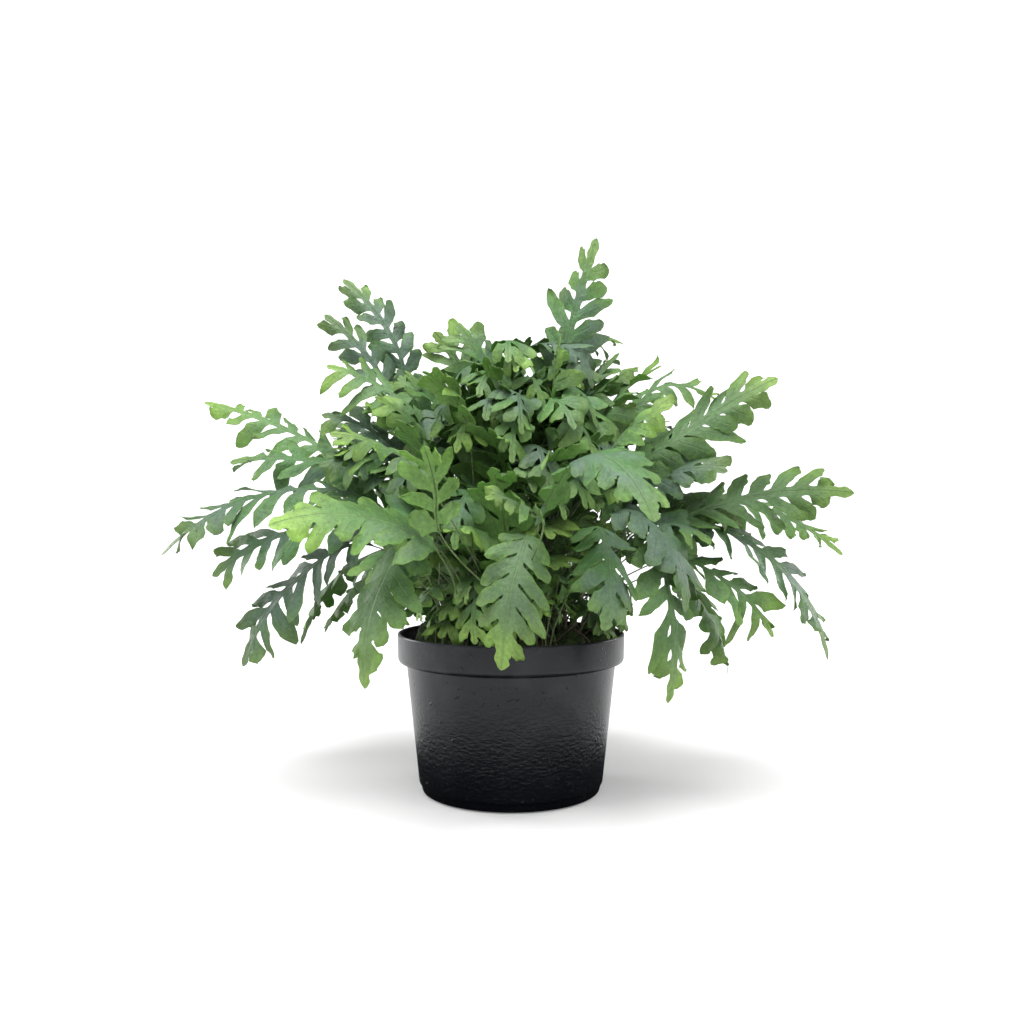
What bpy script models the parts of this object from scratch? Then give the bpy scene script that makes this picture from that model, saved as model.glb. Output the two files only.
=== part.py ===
# A potted blue star fern: a black nursery pot, its soil, a creeping rhizome and every frond.
# Metres, +Z up, origin at the centre of the pot's foot, -Y the front of the plant.
import math

import bmesh
import bpy
import numpy as np
from mathutils import Matrix
from mathutils.bvhtree import BVHTree

MM = 0.001
GAP = 0.4 * MM

# Pot: outside from the foot to the lip, then the inside back down to the floor
POT_PROFILE = [
    (70, 0),
    (74, 1.2),
    (75.6, 7),
    (76.8, 8.4),
    (87.6, 107.6),
    (93.4, 108.6),
    (94.6, 111),
    (95, 131),
    (94.4, 132),
    (92.6, 132),
    (92.2, 112),
    (86, 110),
    (75, 9),
    (69, 3.5),
]
POT_SIDES = 36
FLOOR_CENTRE = (3.5, 0)
DRAIN_COUNT = 4
DRAIN_RADIUS = 5 * MM
DRAIN_SIDES = 8
DRAIN_RING_RADIUS = 50 * MM
DRAIN_SPAN = (-4 * MM, 8 * MM)

# Soil
SOIL_TOP = 119 * MM
SOIL_PROFILE = [(70, 119), (91.8, 120.5), (91.8, 112.6), (85.5, 110.6), (74.5, 9.4), (68.8, 4)]
SOIL_SIDES = 24
HOLE_SPAN = (111 * MM, 126 * MM)

# Rhizome: a line over the soil, in millimetres, with its thickness
RHIZOME_LINE = [
    (-52, -8, 3.4),
    (-34, -26, 5.2),
    (-8, -34, 5.8),
    (18, -28, 6.4),
    (40, -42, 5.6),
    (60, -36, 3.6),
]
RHIZOME_SIDES = 6
RHIZOME_ROWS = 16
RHIZOME_LUMPS = 0.12
RHIZOME_SUNK = 0.5

# Frond: a stem that leaves the soil upright, then a blade cut into pairs of lobes
STEM_WIDTH = 2.2 * MM
RIB_THICKNESS = 1.3 * MM
BLADE_THICKNESS = 0.8 * MM
STEM_ROWS = 3
SPAN_POINTS = 24
STRAIGHT_RUN = 10 * MM
LOBE_PITCH = 10 * MM
LOBE_PITCH_SHARE = 0.45
MOST_PAIRS = 12
LEAST_PAIRS = 3
FIRST_SINUS = 0.02
LOBED_SHARE = 0.82
SHOULDER = 0.45
WING = (0.08, 0.15)
SLANT = (64, 20)
LOBE_LENGTH = (0.8, 1.4, 0.7)
STUBBIEST = 0.8
NECK = 0.6

# The outline of a lobe has a point at each of these angles: few for the solid, more for the clearance
COARSE = np.radians([-90, -46, 4, 50, 90])
CLOSE = np.radians([-90, -70, -45, -15, 15, 45, 70, 90])

# How a frond finds its place
ATTEMPTS = 400
CLEARANCE = 0.4 * MM
STEM_SPACING = 6 * MM
ROOT_REACH = 66 * MM
STEEP_SPAN = (180 * MM, 320 * MM)

SHARP_ANGLE = math.radians(50)

PALETTE = {
    "pot_black": ((0.035, 0.037, 0.042, 1), 0.45),
    "soil_brown": ((0.03, 0.02, 0.013, 1), 0.95),
    "rhizome_brown": ((0.16, 0.09, 0.04, 1), 0.9),
    "frond_blue": ((0.13, 0.27, 0.15, 1), 0.5),
    "frond_green": ((0.16, 0.34, 0.08, 1), 0.5),
    "frond_young": ((0.33, 0.5, 0.13, 1), 0.5),
}

# Fronds placed one by one, in millimetres and degrees: where the blade begins and ends, how far its
# middle bows up, how it is rolled about its rib, its half width and its colour.
CHOSEN_FRONDS = [
    # Front
    ((22, -115, 228), (94, -205, 228), 46, 25, 35, "frond_blue"),
    ((20, -96, 212), (6, -140, 119), 22, 0, 31, "frond_young"),
    ((60, -96, 220), (66, -145, 150), 24, 0, 29, "frond_blue"),
    ((80, -76, 232), (130, -100, 158), 22, 10, 31, "frond_blue"),
    ((88, -88, 220), (107, -112, 90), 18, 10, 28, "frond_green"),
    ((24, -160, 222), (-16, -192, 240), 8, -30, 15, "frond_young"),
    ((-28, -62, 168), (-34, -88, 124), 12, 0, 17, "frond_young"),
    # Right side, high to low
    ((96, 20, 300), (179, 10, 325), 28, 45, 19, "frond_green"),
    ((70, -80, 270), (122, -95, 314), 8, 35, 22, "frond_young"),
    ((100, -45, 262), (212, -50, 339), 6, 50, 29, "frond_green"),
    ((116, -45, 214), (273, -50, 247), 14, 45, 29, "frond_green"),
    ((140, 20, 236), (281, 0, 196), 20, 25, 20, "frond_green"),
    ((116, -55, 226), (254, -50, 117), 34, 40, 29, "frond_blue"),
    ((120, -40, 194), (207, -55, 134), 16, 30, 26, "frond_green"),
    ((126, 0, 182), (182, 0, 97), 14, 20, 22, "frond_green"),
    # Left side, high to low
    ((-84, 60, 306), (-153, 80, 446), 18, -60, 22, "frond_blue"),
    ((-90, 40, 296), (-165, 50, 408), 12, -60, 22, "frond_blue"),
    ((-74, -30, 306), (-150, -30, 352), 8, -50, 24, "frond_green"),
    ((-90, -20, 278), (-154, -30, 312), 8, -40, 22, "frond_blue"),
    ((-114, 30, 250), (-274, 50, 330), 12, -45, 24, "frond_green"),
    ((-112, 0, 250), (-237, 0, 274), 14, -40, 23, "frond_blue"),
    ((-108, -20, 238), (-283, 0, 199), 30, -40, 27, "frond_blue"),
    ((-120, -40, 218), (-240, -40, 182), 16, -40, 26, "frond_blue"),
    ((-112, -30, 206), (-218, -30, 108), 22, -35, 27, "frond_blue"),
    ((-106, 115, 188), (-182, 120, 116), 14, -30, 18, "frond_green"),
    ((-52, -148, 206), (-160, -195, 225), 16, -40, 32, "frond_young"),
    ((-56, -105, 212), (-92, -165, 110), 26, 0, 33, "frond_green"),
    ((-50, -165, 220), (-56, -185, 278), 6, 0, 24, "frond_young"),
    ((-60, -150, 232), (-101, -185, 267), 10, -40, 16, "frond_young"),
    # Crown
    ((30, 0, 285), (73, 10, 466), 4, 80, 27, "frond_blue"),
    ((28, -55, 258), (39, -50, 372), 4, 40, 20, "frond_green"),
    ((40, 0, 318), (112, 0, 372), 30, 30, 21, "frond_green"),
    ((48, -25, 300), (106, -20, 352), 8, 20, 24, "frond_green"),
    ((-27, 30, 304), (-69, 40, 391), 8, -70, 27, "frond_green"),
    ((-10, 0, 300), (-47, 0, 393), 12, -40, 27, "frond_blue"),
    ((10, 40, 296), (-5, 60, 378), 8, 20, 27, "frond_blue"),
    ((-30, -70, 285), (-66, -85, 340), 12, -20, 29, "frond_young"),
    # Heart
    ((0, -56, 180), (-12, -118, 266), 10, 10, 29, "frond_blue"),
    ((-34, -50, 176), (-56, -112, 250), 10, -10, 28, "frond_blue"),
    ((38, -40, 190), (56, -80, 288), 10, 10, 29, "frond_blue"),
    ((-12, -36, 214), (-24, -72, 312), 8, 0, 28, "frond_blue"),
    ((18, -36, 232), (14, -66, 326), 8, 0, 26, "frond_green"),
    ((-56, -46, 206), (-100, -72, 290), 12, -20, 29, "frond_blue"),
]

# The rule for the rest: tiers round the plant, each a ring of fronds with its own lean. A row has the
# count, the first azimuth and the sweep, the reach and height where blades begin and end, and the bow.
FILL_SEED = 11
PLACE_SEED = 12
RHIZOME_SEED = 13
FILL_TIERS = [
    (5, 14, 152, (76, 196), (225, 125), 34),
    (5, 26, 136, (72, 226), (228, 240), 28),
    (4, 20, 150, (36, 216), (112, 338), 14),
]
FILL_COLOURS = ("frond_blue", "frond_green", "frond_blue", "frond_green", "frond_young")


def unit(vector):
    """The vector, or each row of vectors, at length 1."""
    return vector / np.linalg.norm(vector, axis=-1, keepdims=True)


# Frond shape

def rib_line(root, base, tip, bow, azimuth):
    """A smooth line that leaves the soil upright, passes base, bows by bow, and ends at tip."""
    sideways = np.array([-math.sin(azimuth), math.cos(azimuth), 0.0])
    chord = unit(tip - base)
    sideways = unit(sideways - chord * (sideways @ chord))
    middle = (base + tip) / 2 + bow * np.cross(chord, sideways)
    collar = root + [0, 0, STRAIGHT_RUN]
    knots = [collar, base, middle, tip]
    lengths = [np.linalg.norm(b - a) for a, b in zip(knots, knots[1:])]
    heading = [np.array([0.0, 0.0, 1.0]), unit(middle - collar), unit(tip - base)]
    heading.append(unit(2 * (tip - middle) / lengths[2] - heading[2]))
    share = np.linspace(0, 1, SPAN_POINTS, endpoint=False)[:, None]
    spans = []
    for i, length in enumerate(lengths):
        a, b = knots[i], knots[i + 1]
        ta, tb = heading[i] * length, heading[i + 1] * length
        spans.append(
            (2 * share**3 - 3 * share**2 + 1) * a
            + (share**3 - 2 * share**2 + share) * ta
            + (3 * share**2 - 2 * share**3) * b
            + (share**3 - share**2) * tb
        )
    points = np.concatenate([root[None], *spans, tip[None]])
    steps = np.linalg.norm(np.diff(points, axis=0), axis=1)
    along = np.concatenate([[0], np.cumsum(steps)])
    return points, along, along[1 + SPAN_POINTS]


class Frond:
    """One frond: a rib line with a frame along it, and a flat lobed outline laid over that frame."""

    def __init__(self, spec, root):
        base, tip = spec["base"], spec["tip"]
        reach = tip[:2] + 0.5 * (tip[:2] - base[:2])
        azimuth = math.atan2(reach[1], reach[0])
        self.points, self.along, self.stem = rib_line(root, base, tip, spec["bow"], azimuth)
        self.length = self.along[-1] - self.stem
        self.width = spec["width"]
        pitch = LOBE_PITCH + LOBE_PITCH_SHARE * self.width
        self.pairs = max(LEAST_PAIRS, round(LOBED_SHARE * self.length / pitch))
        tangent = unit(np.gradient(self.points, self.along, axis=0))
        tangent[:2] = [0, 0, 1]
        sideways = np.array([-math.sin(azimuth), math.cos(azimuth), 0.0])
        sideways = unit(sideways - tangent * (tangent @ sideways)[:, None])
        normal = np.cross(tangent, sideways)
        share = np.clip((self.along - STRAIGHT_RUN) / (self.stem - STRAIGHT_RUN), 0, 1)
        turn = spec["roll"] * share**2 * (3 - 2 * share)
        turn = turn + spec["twist"] * np.clip((self.along - self.stem) / self.length, 0, 1)
        turn = turn[:, None]
        self.across = sideways * np.cos(turn) + normal * np.sin(turn)
        self.normal = normal * np.cos(turn) - sideways * np.sin(turn)
        self.flaps, self.lengths = spec["flaps"], spec["lengths"]
        self.droop = spec["droop"]
        self.slim = spec["slim"]

    def place(self, x, y, lift):
        """Points x along the rib from the blade's start, y across it and lift off its face."""
        s = np.clip(np.asarray(x) + self.stem, 0, self.along[-1])
        rows = [
            np.stack([np.interp(s, self.along, column) for column in grid.T], axis=-1)
            for grid in (self.points, self.across, self.normal)
        ]
        return rows[0] + rows[1] * np.asarray(y)[..., None] + rows[2] * np.asarray(lift)[..., None]

    def station(self, k):
        """Where sinus k lies along the rib: closer together towards the tip."""
        return self.length * (FIRST_SINUS + LOBED_SHARE * (k / self.pairs) ** 0.93)

    def wing(self, k):
        """Half width of the blade at sinus k: a narrow wing that widens towards the tip."""
        return self.width * (WING[0] + WING[1] * (k / self.pairs) ** 2)

    def lobe(self, side, k, angles, margin):
        """Outline of lobe k: an oblong on a slanting axis, blunt at its tip, narrower at its neck.

        The lobes grow a little longer from the foot of the blade, then shorten in a curve to its tip.
        """
        pitch = self.station(k + 1) - self.station(k)
        v = (k + 0.5) / self.pairs
        slant = math.radians(SLANT[0] - SLANT[1] * v)
        wing = (self.wing(k) + self.wing(k + 1)) / 2
        start, gain, taper = LOBE_LENGTH
        length = self.width * (start + gain * v) * (1 - v) ** taper / math.sin(slant)
        length = length * self.lengths[side][k] - wing
        half = min(self.slim * 0.5 * pitch * math.sin(slant), STUBBIEST * length) + margin
        length = length + margin
        out = length * np.abs(np.cos(angles)) ** 0.6
        share = out / length
        neck = NECK + (1 - NECK) * np.minimum(1, 1.6 * share)
        over = half * neck * np.sign(angles) * np.abs(np.sin(angles)) ** 0.8
        x = (self.station(k) + self.station(k + 1)) / 2 + side * 0.2 * pitch - 0.3 * wing
        x = x + out * math.cos(slant) + over * (share * math.sin(slant) + (1 - share) / math.sin(slant))
        y = wing + out * math.sin(slant) - over * share * math.cos(slant)
        lift = self.flaps[side][k] * (y - wing) - self.droop * y * y / self.width
        return np.stack([x, side * y, lift], axis=1)

    def sheet(self, angles, stem_half, margin=0, notched=True):
        """The frond as an open sheet of triangles, and how thick it is at each point.

        Notched, the sinus between two lobes has a flat foot; otherwise it comes to a point.
        """
        flat, thickness, faces = [], [], []

        def add(x, y, lift, thick):
            flat.append((x, y, lift))
            thickness.append(thick)
            return len(flat) - 1

        rows = np.linspace(STRAIGHT_RUN, self.stem, STEM_ROWS + 1) - self.stem
        previous = None
        for x in [-self.stem, *rows]:
            pair = [add(x, -stem_half, 0, STEM_WIDTH), add(x, stem_half, 0, STEM_WIDTH)]
            if previous:
                faces += [(previous[0], pair[0], pair[1]), (previous[0], pair[1], previous[1])]
            previous = pair
        centres = [(self.station(k) + self.station(k + 1)) / 2 for k in range(self.pairs)]
        ribs = [add(x, 0, 0, RIB_THICKNESS) for x in centres]
        faces.append((previous[0], ribs[0], previous[1]))
        tip = add(self.length, 0, 0, BLADE_THICKNESS)
        shoulder = self.station(self.pairs) + SHOULDER * (self.length - self.station(self.pairs))
        for side, stem_edge in zip((-1, 1), previous):
            lobes = [self.lobe(side, k, angles, margin) for k in range(self.pairs)]
            triangles = []
            last = stem_edge
            for k, outline in enumerate(lobes):
                if not notched:
                    if k:
                        outline = outline[1:]
                    if k + 1 < self.pairs:
                        outline[-1] = (outline[-1] + lobes[k + 1][0]) / 2
                ring = [add(*values, BLADE_THICKNESS) for values in outline]
                if notched or not k:
                    triangles.append((ribs[k], ring[0], last))
                else:
                    ring = [last, *ring]
                triangles.append((ribs[k], ring[-1], ring[0]))
                triangles += [(ring[-1], b, a) for a, b in zip(ring, ring[1:-1])]
                if k + 1 < self.pairs:
                    triangles.append((ribs[k], ribs[k + 1], ring[-1]))
                last = ring[-1]
            bulge = add(shoulder, side * 1.1 * self.wing(self.pairs), 0, BLADE_THICKNESS)
            triangles += [(ribs[-1], bulge, last), (ribs[-1], tip, bulge)]
            faces += triangles if side == 1 else [(a, c, b) for a, b, c in triangles]
        return self.place(*np.array(flat).T), np.array(thickness), faces


def point_normals(points, faces):
    """At each point, the mean direction of the faces that meet there."""
    faces = np.array(faces)
    corners = points[faces]
    face_normals = np.cross(corners[:, 1] - corners[:, 0], corners[:, 2] - corners[:, 0])
    normals = np.zeros_like(points)
    for corner in range(3):
        np.add.at(normals, faces[:, corner], face_normals)
    return unit(normals)


def leaf_solid(frond, angles, margin=0, notched=True):
    """The sheet made solid: two alike faces, apart by the thickness, and a wall round the edge."""
    points, thickness, faces = frond.sheet(angles, STEM_WIDTH / 2 + margin, margin, notched)
    half = point_normals(points, faces) * (thickness[:, None] / 2 + margin)
    count = len(points)
    solid_faces = list(faces) + [(a + count, c + count, b + count) for a, b, c in faces]
    edges = {(a, b) for face in faces for a, b in zip(face, (*face[1:], face[0]))}
    for a, b in sorted(edges):
        if (b, a) not in edges:
            solid_faces += [(b, a, a + count), (b, a + count, b + count)]
    return np.concatenate([points + half, points - half]), solid_faces


def clearance_tree(frond):
    """The frond a little thicker than it is, for the test that it crosses no neighbour."""
    points, faces = leaf_solid(frond, COARSE, CLEARANCE)
    more_points, more_faces = leaf_solid(frond, CLOSE, CLEARANCE)
    faces = faces + [tuple(i + len(points) for i in face) for face in more_faces]
    return solid_tree(np.concatenate([points, more_points]), faces)


# Where the fronds go

def spec_of(base, tip, bow, roll, width, colour, draw):
    """A wanted frond in metres and radians, with its own droop, twist and uneven lobes."""
    return {
        "base": np.array(base) * MM,
        "tip": np.array(tip) * MM,
        "bow": bow * MM,
        "roll": math.radians(roll),
        "twist": math.radians(draw.uniform(-22, 22)),
        "width": width * MM,
        "colour": colour,
        "droop": draw.uniform(0.05, 0.3),
        "slim": draw.uniform(0.74, 0.92),
        "flaps": {side: draw.uniform(-0.22, 0.16, MOST_PAIRS) for side in (-1, 1)},
        "lengths": {side: draw.uniform(0.9, 1.08, MOST_PAIRS) for side in (-1, 1)},
    }


def wanted_fronds():
    """The chosen fronds, then the tiers that fill the back and the heart of the plant."""
    draw = np.random.default_rng(FILL_SEED)
    specs = [spec_of(*row, draw) for row in CHOSEN_FRONDS]
    for count, first, sweep, start, end, bow in FILL_TIERS:
        for i in range(count):
            azimuth = math.radians(first + sweep * (i + 0.5) / count + draw.uniform(-6, 6))
            turn = azimuth + math.radians(draw.uniform(-12, 12))
            stretch = draw.uniform(0.88, 1.06)
            base = (start[0] * math.cos(azimuth), start[0] * math.sin(azimuth), start[1])
            height = end[1] + draw.uniform(-22, 22)
            tip = (end[0] * stretch * math.cos(turn), end[0] * stretch * math.sin(turn), height)
            colour = FILL_COLOURS[int(draw.integers(len(FILL_COLOURS)))]
            width = draw.uniform(27, 33)
            specs.append(spec_of(base, tip, bow, draw.uniform(-25, 25), width, colour, draw))
    return specs


def turned(point, angle):
    """The point, turned about Z."""
    cos, sin = math.cos(angle), math.sin(angle)
    return np.array([point[0] * cos - point[1] * sin, point[0] * sin + point[1] * cos, point[2]])


def root_for(spec, draw, wander):
    """A spot in the soil on the frond's own side: low fronds leave it further out."""
    azimuth = math.atan2(spec["base"][1], spec["base"][0]) + draw.normal(0, 0.3 + 0.4 * wander)
    low, high = STEEP_SPAN
    steep = np.clip((spec["base"][2] - low) / (high - low), 0, 1)
    radius = ROOT_REACH * np.clip(0.85 - 0.55 * steep + draw.normal(0, 0.16), 0.12, 1)
    return np.array([radius * math.cos(azimuth), radius * math.sin(azimuth), HOLE_SPAN[0] + GAP])


def grow_fronds():
    """Grows the fronds one after another. Each swings, rises and rolls a little until it is clear."""
    draw = np.random.default_rng(PLACE_SEED)
    grown, roots = [], []
    trees = [solid_tree(*rhizome_shape(0.6 * MM)), solid_tree(*turned_shape(POT_PROFILE, POT_SIDES))]
    rhizome_spots = np.array(RHIZOME_LINE)
    steps = np.linspace(0, len(rhizome_spots) - 1, 60)
    spots = [np.interp(steps, range(len(rhizome_spots)), column) for column in rhizome_spots.T]
    for number, spec in enumerate(wanted_fronds(), start=1):
        for attempt in range(ATTEMPTS):
            loose = 0.01 + 0.4 * (attempt / ATTEMPTS) ** 1.5
            nudged = dict(spec)
            swing = draw.normal(0, loose)
            rise = draw.normal(0, 0.05 * loose)
            nudged["base"] = turned(spec["base"], swing) + [0, 0, rise]
            nudged["tip"] = turned(spec["tip"], swing + draw.normal(0, loose / 2)) + [0, 0, rise]
            nudged["roll"] = spec["roll"] + draw.normal(0, loose)
            root = root_for(spec, draw, attempt / ATTEMPTS)
            if any(np.hypot(*(root - other)[:2]) < STEM_SPACING for other in roots):
                continue
            clear = np.hypot(spots[0] * MM - root[0], spots[1] * MM - root[1]) - spots[2] * MM
            if clear.min() < STEM_WIDTH + GAP:
                continue
            frond = Frond(nudged, root)
            tree, low, high = clearance_tree(frond)
            near = [t for t, a, b in trees if (a < high).all() and (low < b).all()]
            if not any(tree.overlap(other) for other in near):
                grown.append((frond, nudged["colour"], root))
                trees.append((tree, low, high))
                roots.append(root)
                break
        else:
            print(f"frond {number} found no free place")
    return grown


# Solids

def solid_tree(points, faces):
    """A search tree over the faces, with the lowest and highest corner of their box."""
    points = np.array(points)
    return BVHTree.FromPolygons(points.tolist(), faces), points.min(axis=0), points.max(axis=0)


def turned_shape(profile, sides):
    """The surface a profile sweeps round Z, for the test of clearance only."""
    profile = np.array(profile) * MM
    angles = np.linspace(0, 2 * np.pi, sides, endpoint=False)
    rings = [(r * np.cos(angles), r * np.sin(angles), np.full(sides, z)) for r, z in profile]
    points = np.concatenate([np.stack(ring, axis=1) for ring in rings])
    faces = []
    for row in range(len(profile) - 1):
        for i in range(sides):
            a, b = row * sides + i, row * sides + (i + 1) % sides
            faces.append((a, b, b + sides, a + sides))
    return points, faces


def rhizome_shape(proud):
    """A lumpy tube over the soil, flat enough underneath to lie just above it."""
    line = np.array(RHIZOME_LINE) * MM
    steps = np.linspace(0, len(line) - 1, RHIZOME_ROWS)
    x, y, radius = [np.interp(steps, range(len(line)), column) for column in line.T]
    draw = np.random.default_rng(RHIZOME_SEED)
    radius = radius * (1 + draw.uniform(-RHIZOME_LUMPS, RHIZOME_LUMPS, RHIZOME_ROWS)) + proud
    heading = unit(np.stack([np.gradient(x), np.gradient(y)], axis=1))
    angles = np.linspace(0, 2 * np.pi, RHIZOME_SIDES, endpoint=False)
    points, faces = [], []
    for i in range(RHIZOME_ROWS):
        aside = radius[i] * np.cos(angles)
        up = radius[i] * np.maximum(np.sin(angles), -RHIZOME_SUNK)
        middle = SOIL_TOP + GAP + RHIZOME_SUNK * (radius[i] - proud)
        ring = [x[i] - heading[i, 1] * aside, y[i] + heading[i, 0] * aside, middle + up]
        points.append(np.stack(ring, axis=1))
    for row in range(RHIZOME_ROWS - 1):
        for i in range(RHIZOME_SIDES):
            a, b = row * RHIZOME_SIDES + i, row * RHIZOME_SIDES + (i + 1) % RHIZOME_SIDES
            faces.append((a, b, b + RHIZOME_SIDES, a + RHIZOME_SIDES))
    points = np.concatenate(points)
    first = list(range(RHIZOME_SIDES))
    last = [len(points) - RHIZOME_SIDES + i for i in first]
    faces += [tuple(reversed(first)), tuple(last)]
    return points, faces


def material(name):
    """The material of that name in the palette, made once."""
    made = bpy.data.materials.get(name)
    if made is None:
        colour, roughness = PALETTE[name]
        made = bpy.data.materials.new(name)
        made.use_nodes = True
        shader = made.node_tree.nodes["Principled BSDF"]
        shader.inputs["Base Color"].default_value = colour
        shader.inputs["Roughness"].default_value = roughness
        shader.inputs["Metallic"].default_value = 0
        made.diffuse_color = colour
    return made


def add_object(name, points, faces, colour, collection):
    """A mesh object whose faces point out, shaded smooth between its sharp edges."""
    mesh = bpy.data.meshes.new(name)
    mesh.from_pydata(np.array(points).tolist(), [], [tuple(int(i) for i in face) for face in faces])
    tidy = bmesh.new()
    tidy.from_mesh(mesh)
    bmesh.ops.recalc_face_normals(tidy, faces=tidy.faces)
    tidy.to_mesh(mesh)
    tidy.free()
    mesh.materials.append(material(colour))
    mesh.shade_smooth()
    mesh.set_sharp_from_angle(angle=SHARP_ANGLE)
    made = bpy.data.objects.new(name, mesh)
    collection.objects.link(made)
    return made


def add_turned(name, profile, sides, colour, collection):
    """A profile in XZ, down its outer side, swept round Z by a Screw modifier."""
    line = [(r * MM, 0, z * MM) for r, z in profile]
    edges = [(i, i + 1) for i in range(len(line) - 1)]
    mesh = bpy.data.meshes.new(name)
    mesh.from_pydata(line, edges, [])
    mesh.materials.append(material(colour))
    made = bpy.data.objects.new(name, mesh)
    collection.objects.link(made)
    sweep = made.modifiers.new("Turn", "SCREW")
    sweep.axis = "Z"
    sweep.steps = sides
    sweep.render_steps = sides
    sweep.use_merge_vertices = True
    sweep.merge_threshold = 0.01 * MM
    sweep.use_smooth_shade = True
    return made


def add_posts(name, spots, radius, sides, span, collection):
    """A cutter of upright posts, each at a spot of x, y and turn, over a span of heights."""
    low, high = span
    posts = bmesh.new()
    for x, y, turn in spots:
        place = Matrix.Translation((x, y, (low + high) / 2)) @ Matrix.Rotation(turn, 4, "Z")
        size = {"radius1": radius, "radius2": radius, "depth": high - low}
        bmesh.ops.create_cone(posts, cap_ends=True, segments=sides, matrix=place, **size)
    mesh = bpy.data.meshes.new(name)
    posts.to_mesh(mesh)
    posts.free()
    made = bpy.data.objects.new(name, mesh)
    made.hide_render = True
    made.display_type = "WIRE"
    collection.objects.link(made)
    return made


def cut(target, cutter):
    """Takes the cutter out of the target."""
    step = target.modifiers.new("Cut", "BOOLEAN")
    step.operation = "DIFFERENCE"
    step.solver = "EXACT"
    step.object = cutter


def make_pot(shown, cutters):
    """The pot: its profile closed on the axis at both ends, with drain holes through the floor."""
    floor_top, floor_bottom = FLOOR_CENTRE
    profile = [(0, floor_top), *reversed(POT_PROFILE), (0, floor_bottom)]
    pot = add_turned("pot", profile, POT_SIDES, "pot_black", shown)
    angles = [2 * math.pi * (i + 0.5) / DRAIN_COUNT for i in range(DRAIN_COUNT)]
    spots = [(DRAIN_RING_RADIUS * math.cos(a), DRAIN_RING_RADIUS * math.sin(a), 0) for a in angles]
    cut(pot, add_posts("pot_drains", spots, DRAIN_RADIUS, DRAIN_SIDES, DRAIN_SPAN, cutters))


def make_soil(grown, shown, cutters):
    """The soil: a turned plug that fills the pot, with a plain square hole for each stem."""
    profile = [(0, SOIL_PROFILE[0][1]), *SOIL_PROFILE, (0, SOIL_PROFILE[-1][1])]
    soil = add_turned("soil", profile, SOIL_SIDES, "soil_brown", shown)
    spots = []
    for frond, _, root in grown:
        turn = math.atan2(frond.across[0][1], frond.across[0][0])
        spots.append((root[0], root[1], turn + math.pi / 4))
    corner = math.sqrt(2) * (STEM_WIDTH / 2 + GAP)
    cut(soil, add_posts("soil_holes", spots, corner, 4, HOLE_SPAN, cutters))


def make_fronds(grown, shown):
    """One solid for each frond. The chosen ones have a flat foot to each sinus, the rest a point."""
    for number, (frond, colour, _) in enumerate(grown, start=1):
        solid = leaf_solid(frond, COARSE, notched=number <= len(CHOSEN_FRONDS))
        add_object(f"frond_{number:02d}", *solid, colour, shown)


def build():
    for old in list(bpy.data.objects):
        bpy.data.objects.remove(old, do_unlink=True)
    shown = bpy.data.collections.new("potted_blue_star_fern")
    cutters = bpy.data.collections.new("cutters")
    cutters.hide_render = True
    bpy.context.scene.collection.children.link(shown)
    bpy.context.scene.collection.children.link(cutters)
    grown = grow_fronds()
    make_pot(shown, cutters)
    make_soil(grown, shown, cutters)
    add_object("rhizome", *rhizome_shape(0), "rhizome_brown", shown)
    make_fronds(grown, shown)


build()
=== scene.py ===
# A potted blue star fern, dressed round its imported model.
# Metres, +Z up, the origin under the middle of the pot, -Y the front of the plant.
import math

import bmesh
import bpy
import numpy as np
from mathutils import Matrix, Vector
from mathutils.bvhtree import BVHTree


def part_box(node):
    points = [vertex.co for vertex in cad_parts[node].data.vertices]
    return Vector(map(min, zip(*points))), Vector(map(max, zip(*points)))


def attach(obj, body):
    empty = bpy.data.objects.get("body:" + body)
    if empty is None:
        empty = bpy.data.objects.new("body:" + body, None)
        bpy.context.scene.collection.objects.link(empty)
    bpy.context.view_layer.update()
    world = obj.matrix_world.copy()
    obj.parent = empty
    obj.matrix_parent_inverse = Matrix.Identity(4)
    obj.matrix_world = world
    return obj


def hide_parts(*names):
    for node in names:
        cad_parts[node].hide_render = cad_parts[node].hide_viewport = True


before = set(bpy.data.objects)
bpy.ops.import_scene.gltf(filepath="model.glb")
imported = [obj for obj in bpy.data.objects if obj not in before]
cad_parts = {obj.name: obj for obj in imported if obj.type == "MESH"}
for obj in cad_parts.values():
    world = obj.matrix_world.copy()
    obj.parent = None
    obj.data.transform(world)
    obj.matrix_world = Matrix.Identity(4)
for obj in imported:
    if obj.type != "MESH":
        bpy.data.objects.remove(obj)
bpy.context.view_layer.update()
mm = 0.001
print("frame loaded:", len(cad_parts), "nodes")


# Camera, floor and light

view = {
    "place": (0, -0.870, 0.2377),
    "lens": 36.3,
    "shift": (1 / 1024, -6 / 1024),
    "floorColour": (0.5, 0.5, 0.5, 1),
    "floorGlow": (0.12, 1.0),
    "glowSpan": (0.2, 1.6),
    "floorBounce": ((0.02, 0.02, 0.02, 1), (0.8, 0.8, 0.8, 1)),
    "bounceSpan": (0.165, 0.215),
    "floorReach": (-3, 2.6),
    "floorWidth": 10.0,
    "bendRadius": 1.1,
    "wallTop": 4,
    "skyColour": (1, 1, 1, 1),
    "skyStrength": 0.33,
}
lamps = [  # name, place, size, power; each looks at the plant
    ("leftLight", (-1.4, -0.9, 1.1), 0.7, 9),
    ("rightLight", (1.4, -0.8, 1.0), 0.7, 8),
    ("leftEdgeLight", (-1.3, 0.7, 0.5), 0.7, 16),
    ("rightEdgeLight", (1.3, 0.7, 0.5), 0.7, 15),
    ("topLight", (-0.1, -0.5, 1.9), 1.8, 87),
    ("frontLight", (0.2, -2.2, 0.8), 1.0, 14),
]


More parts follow.
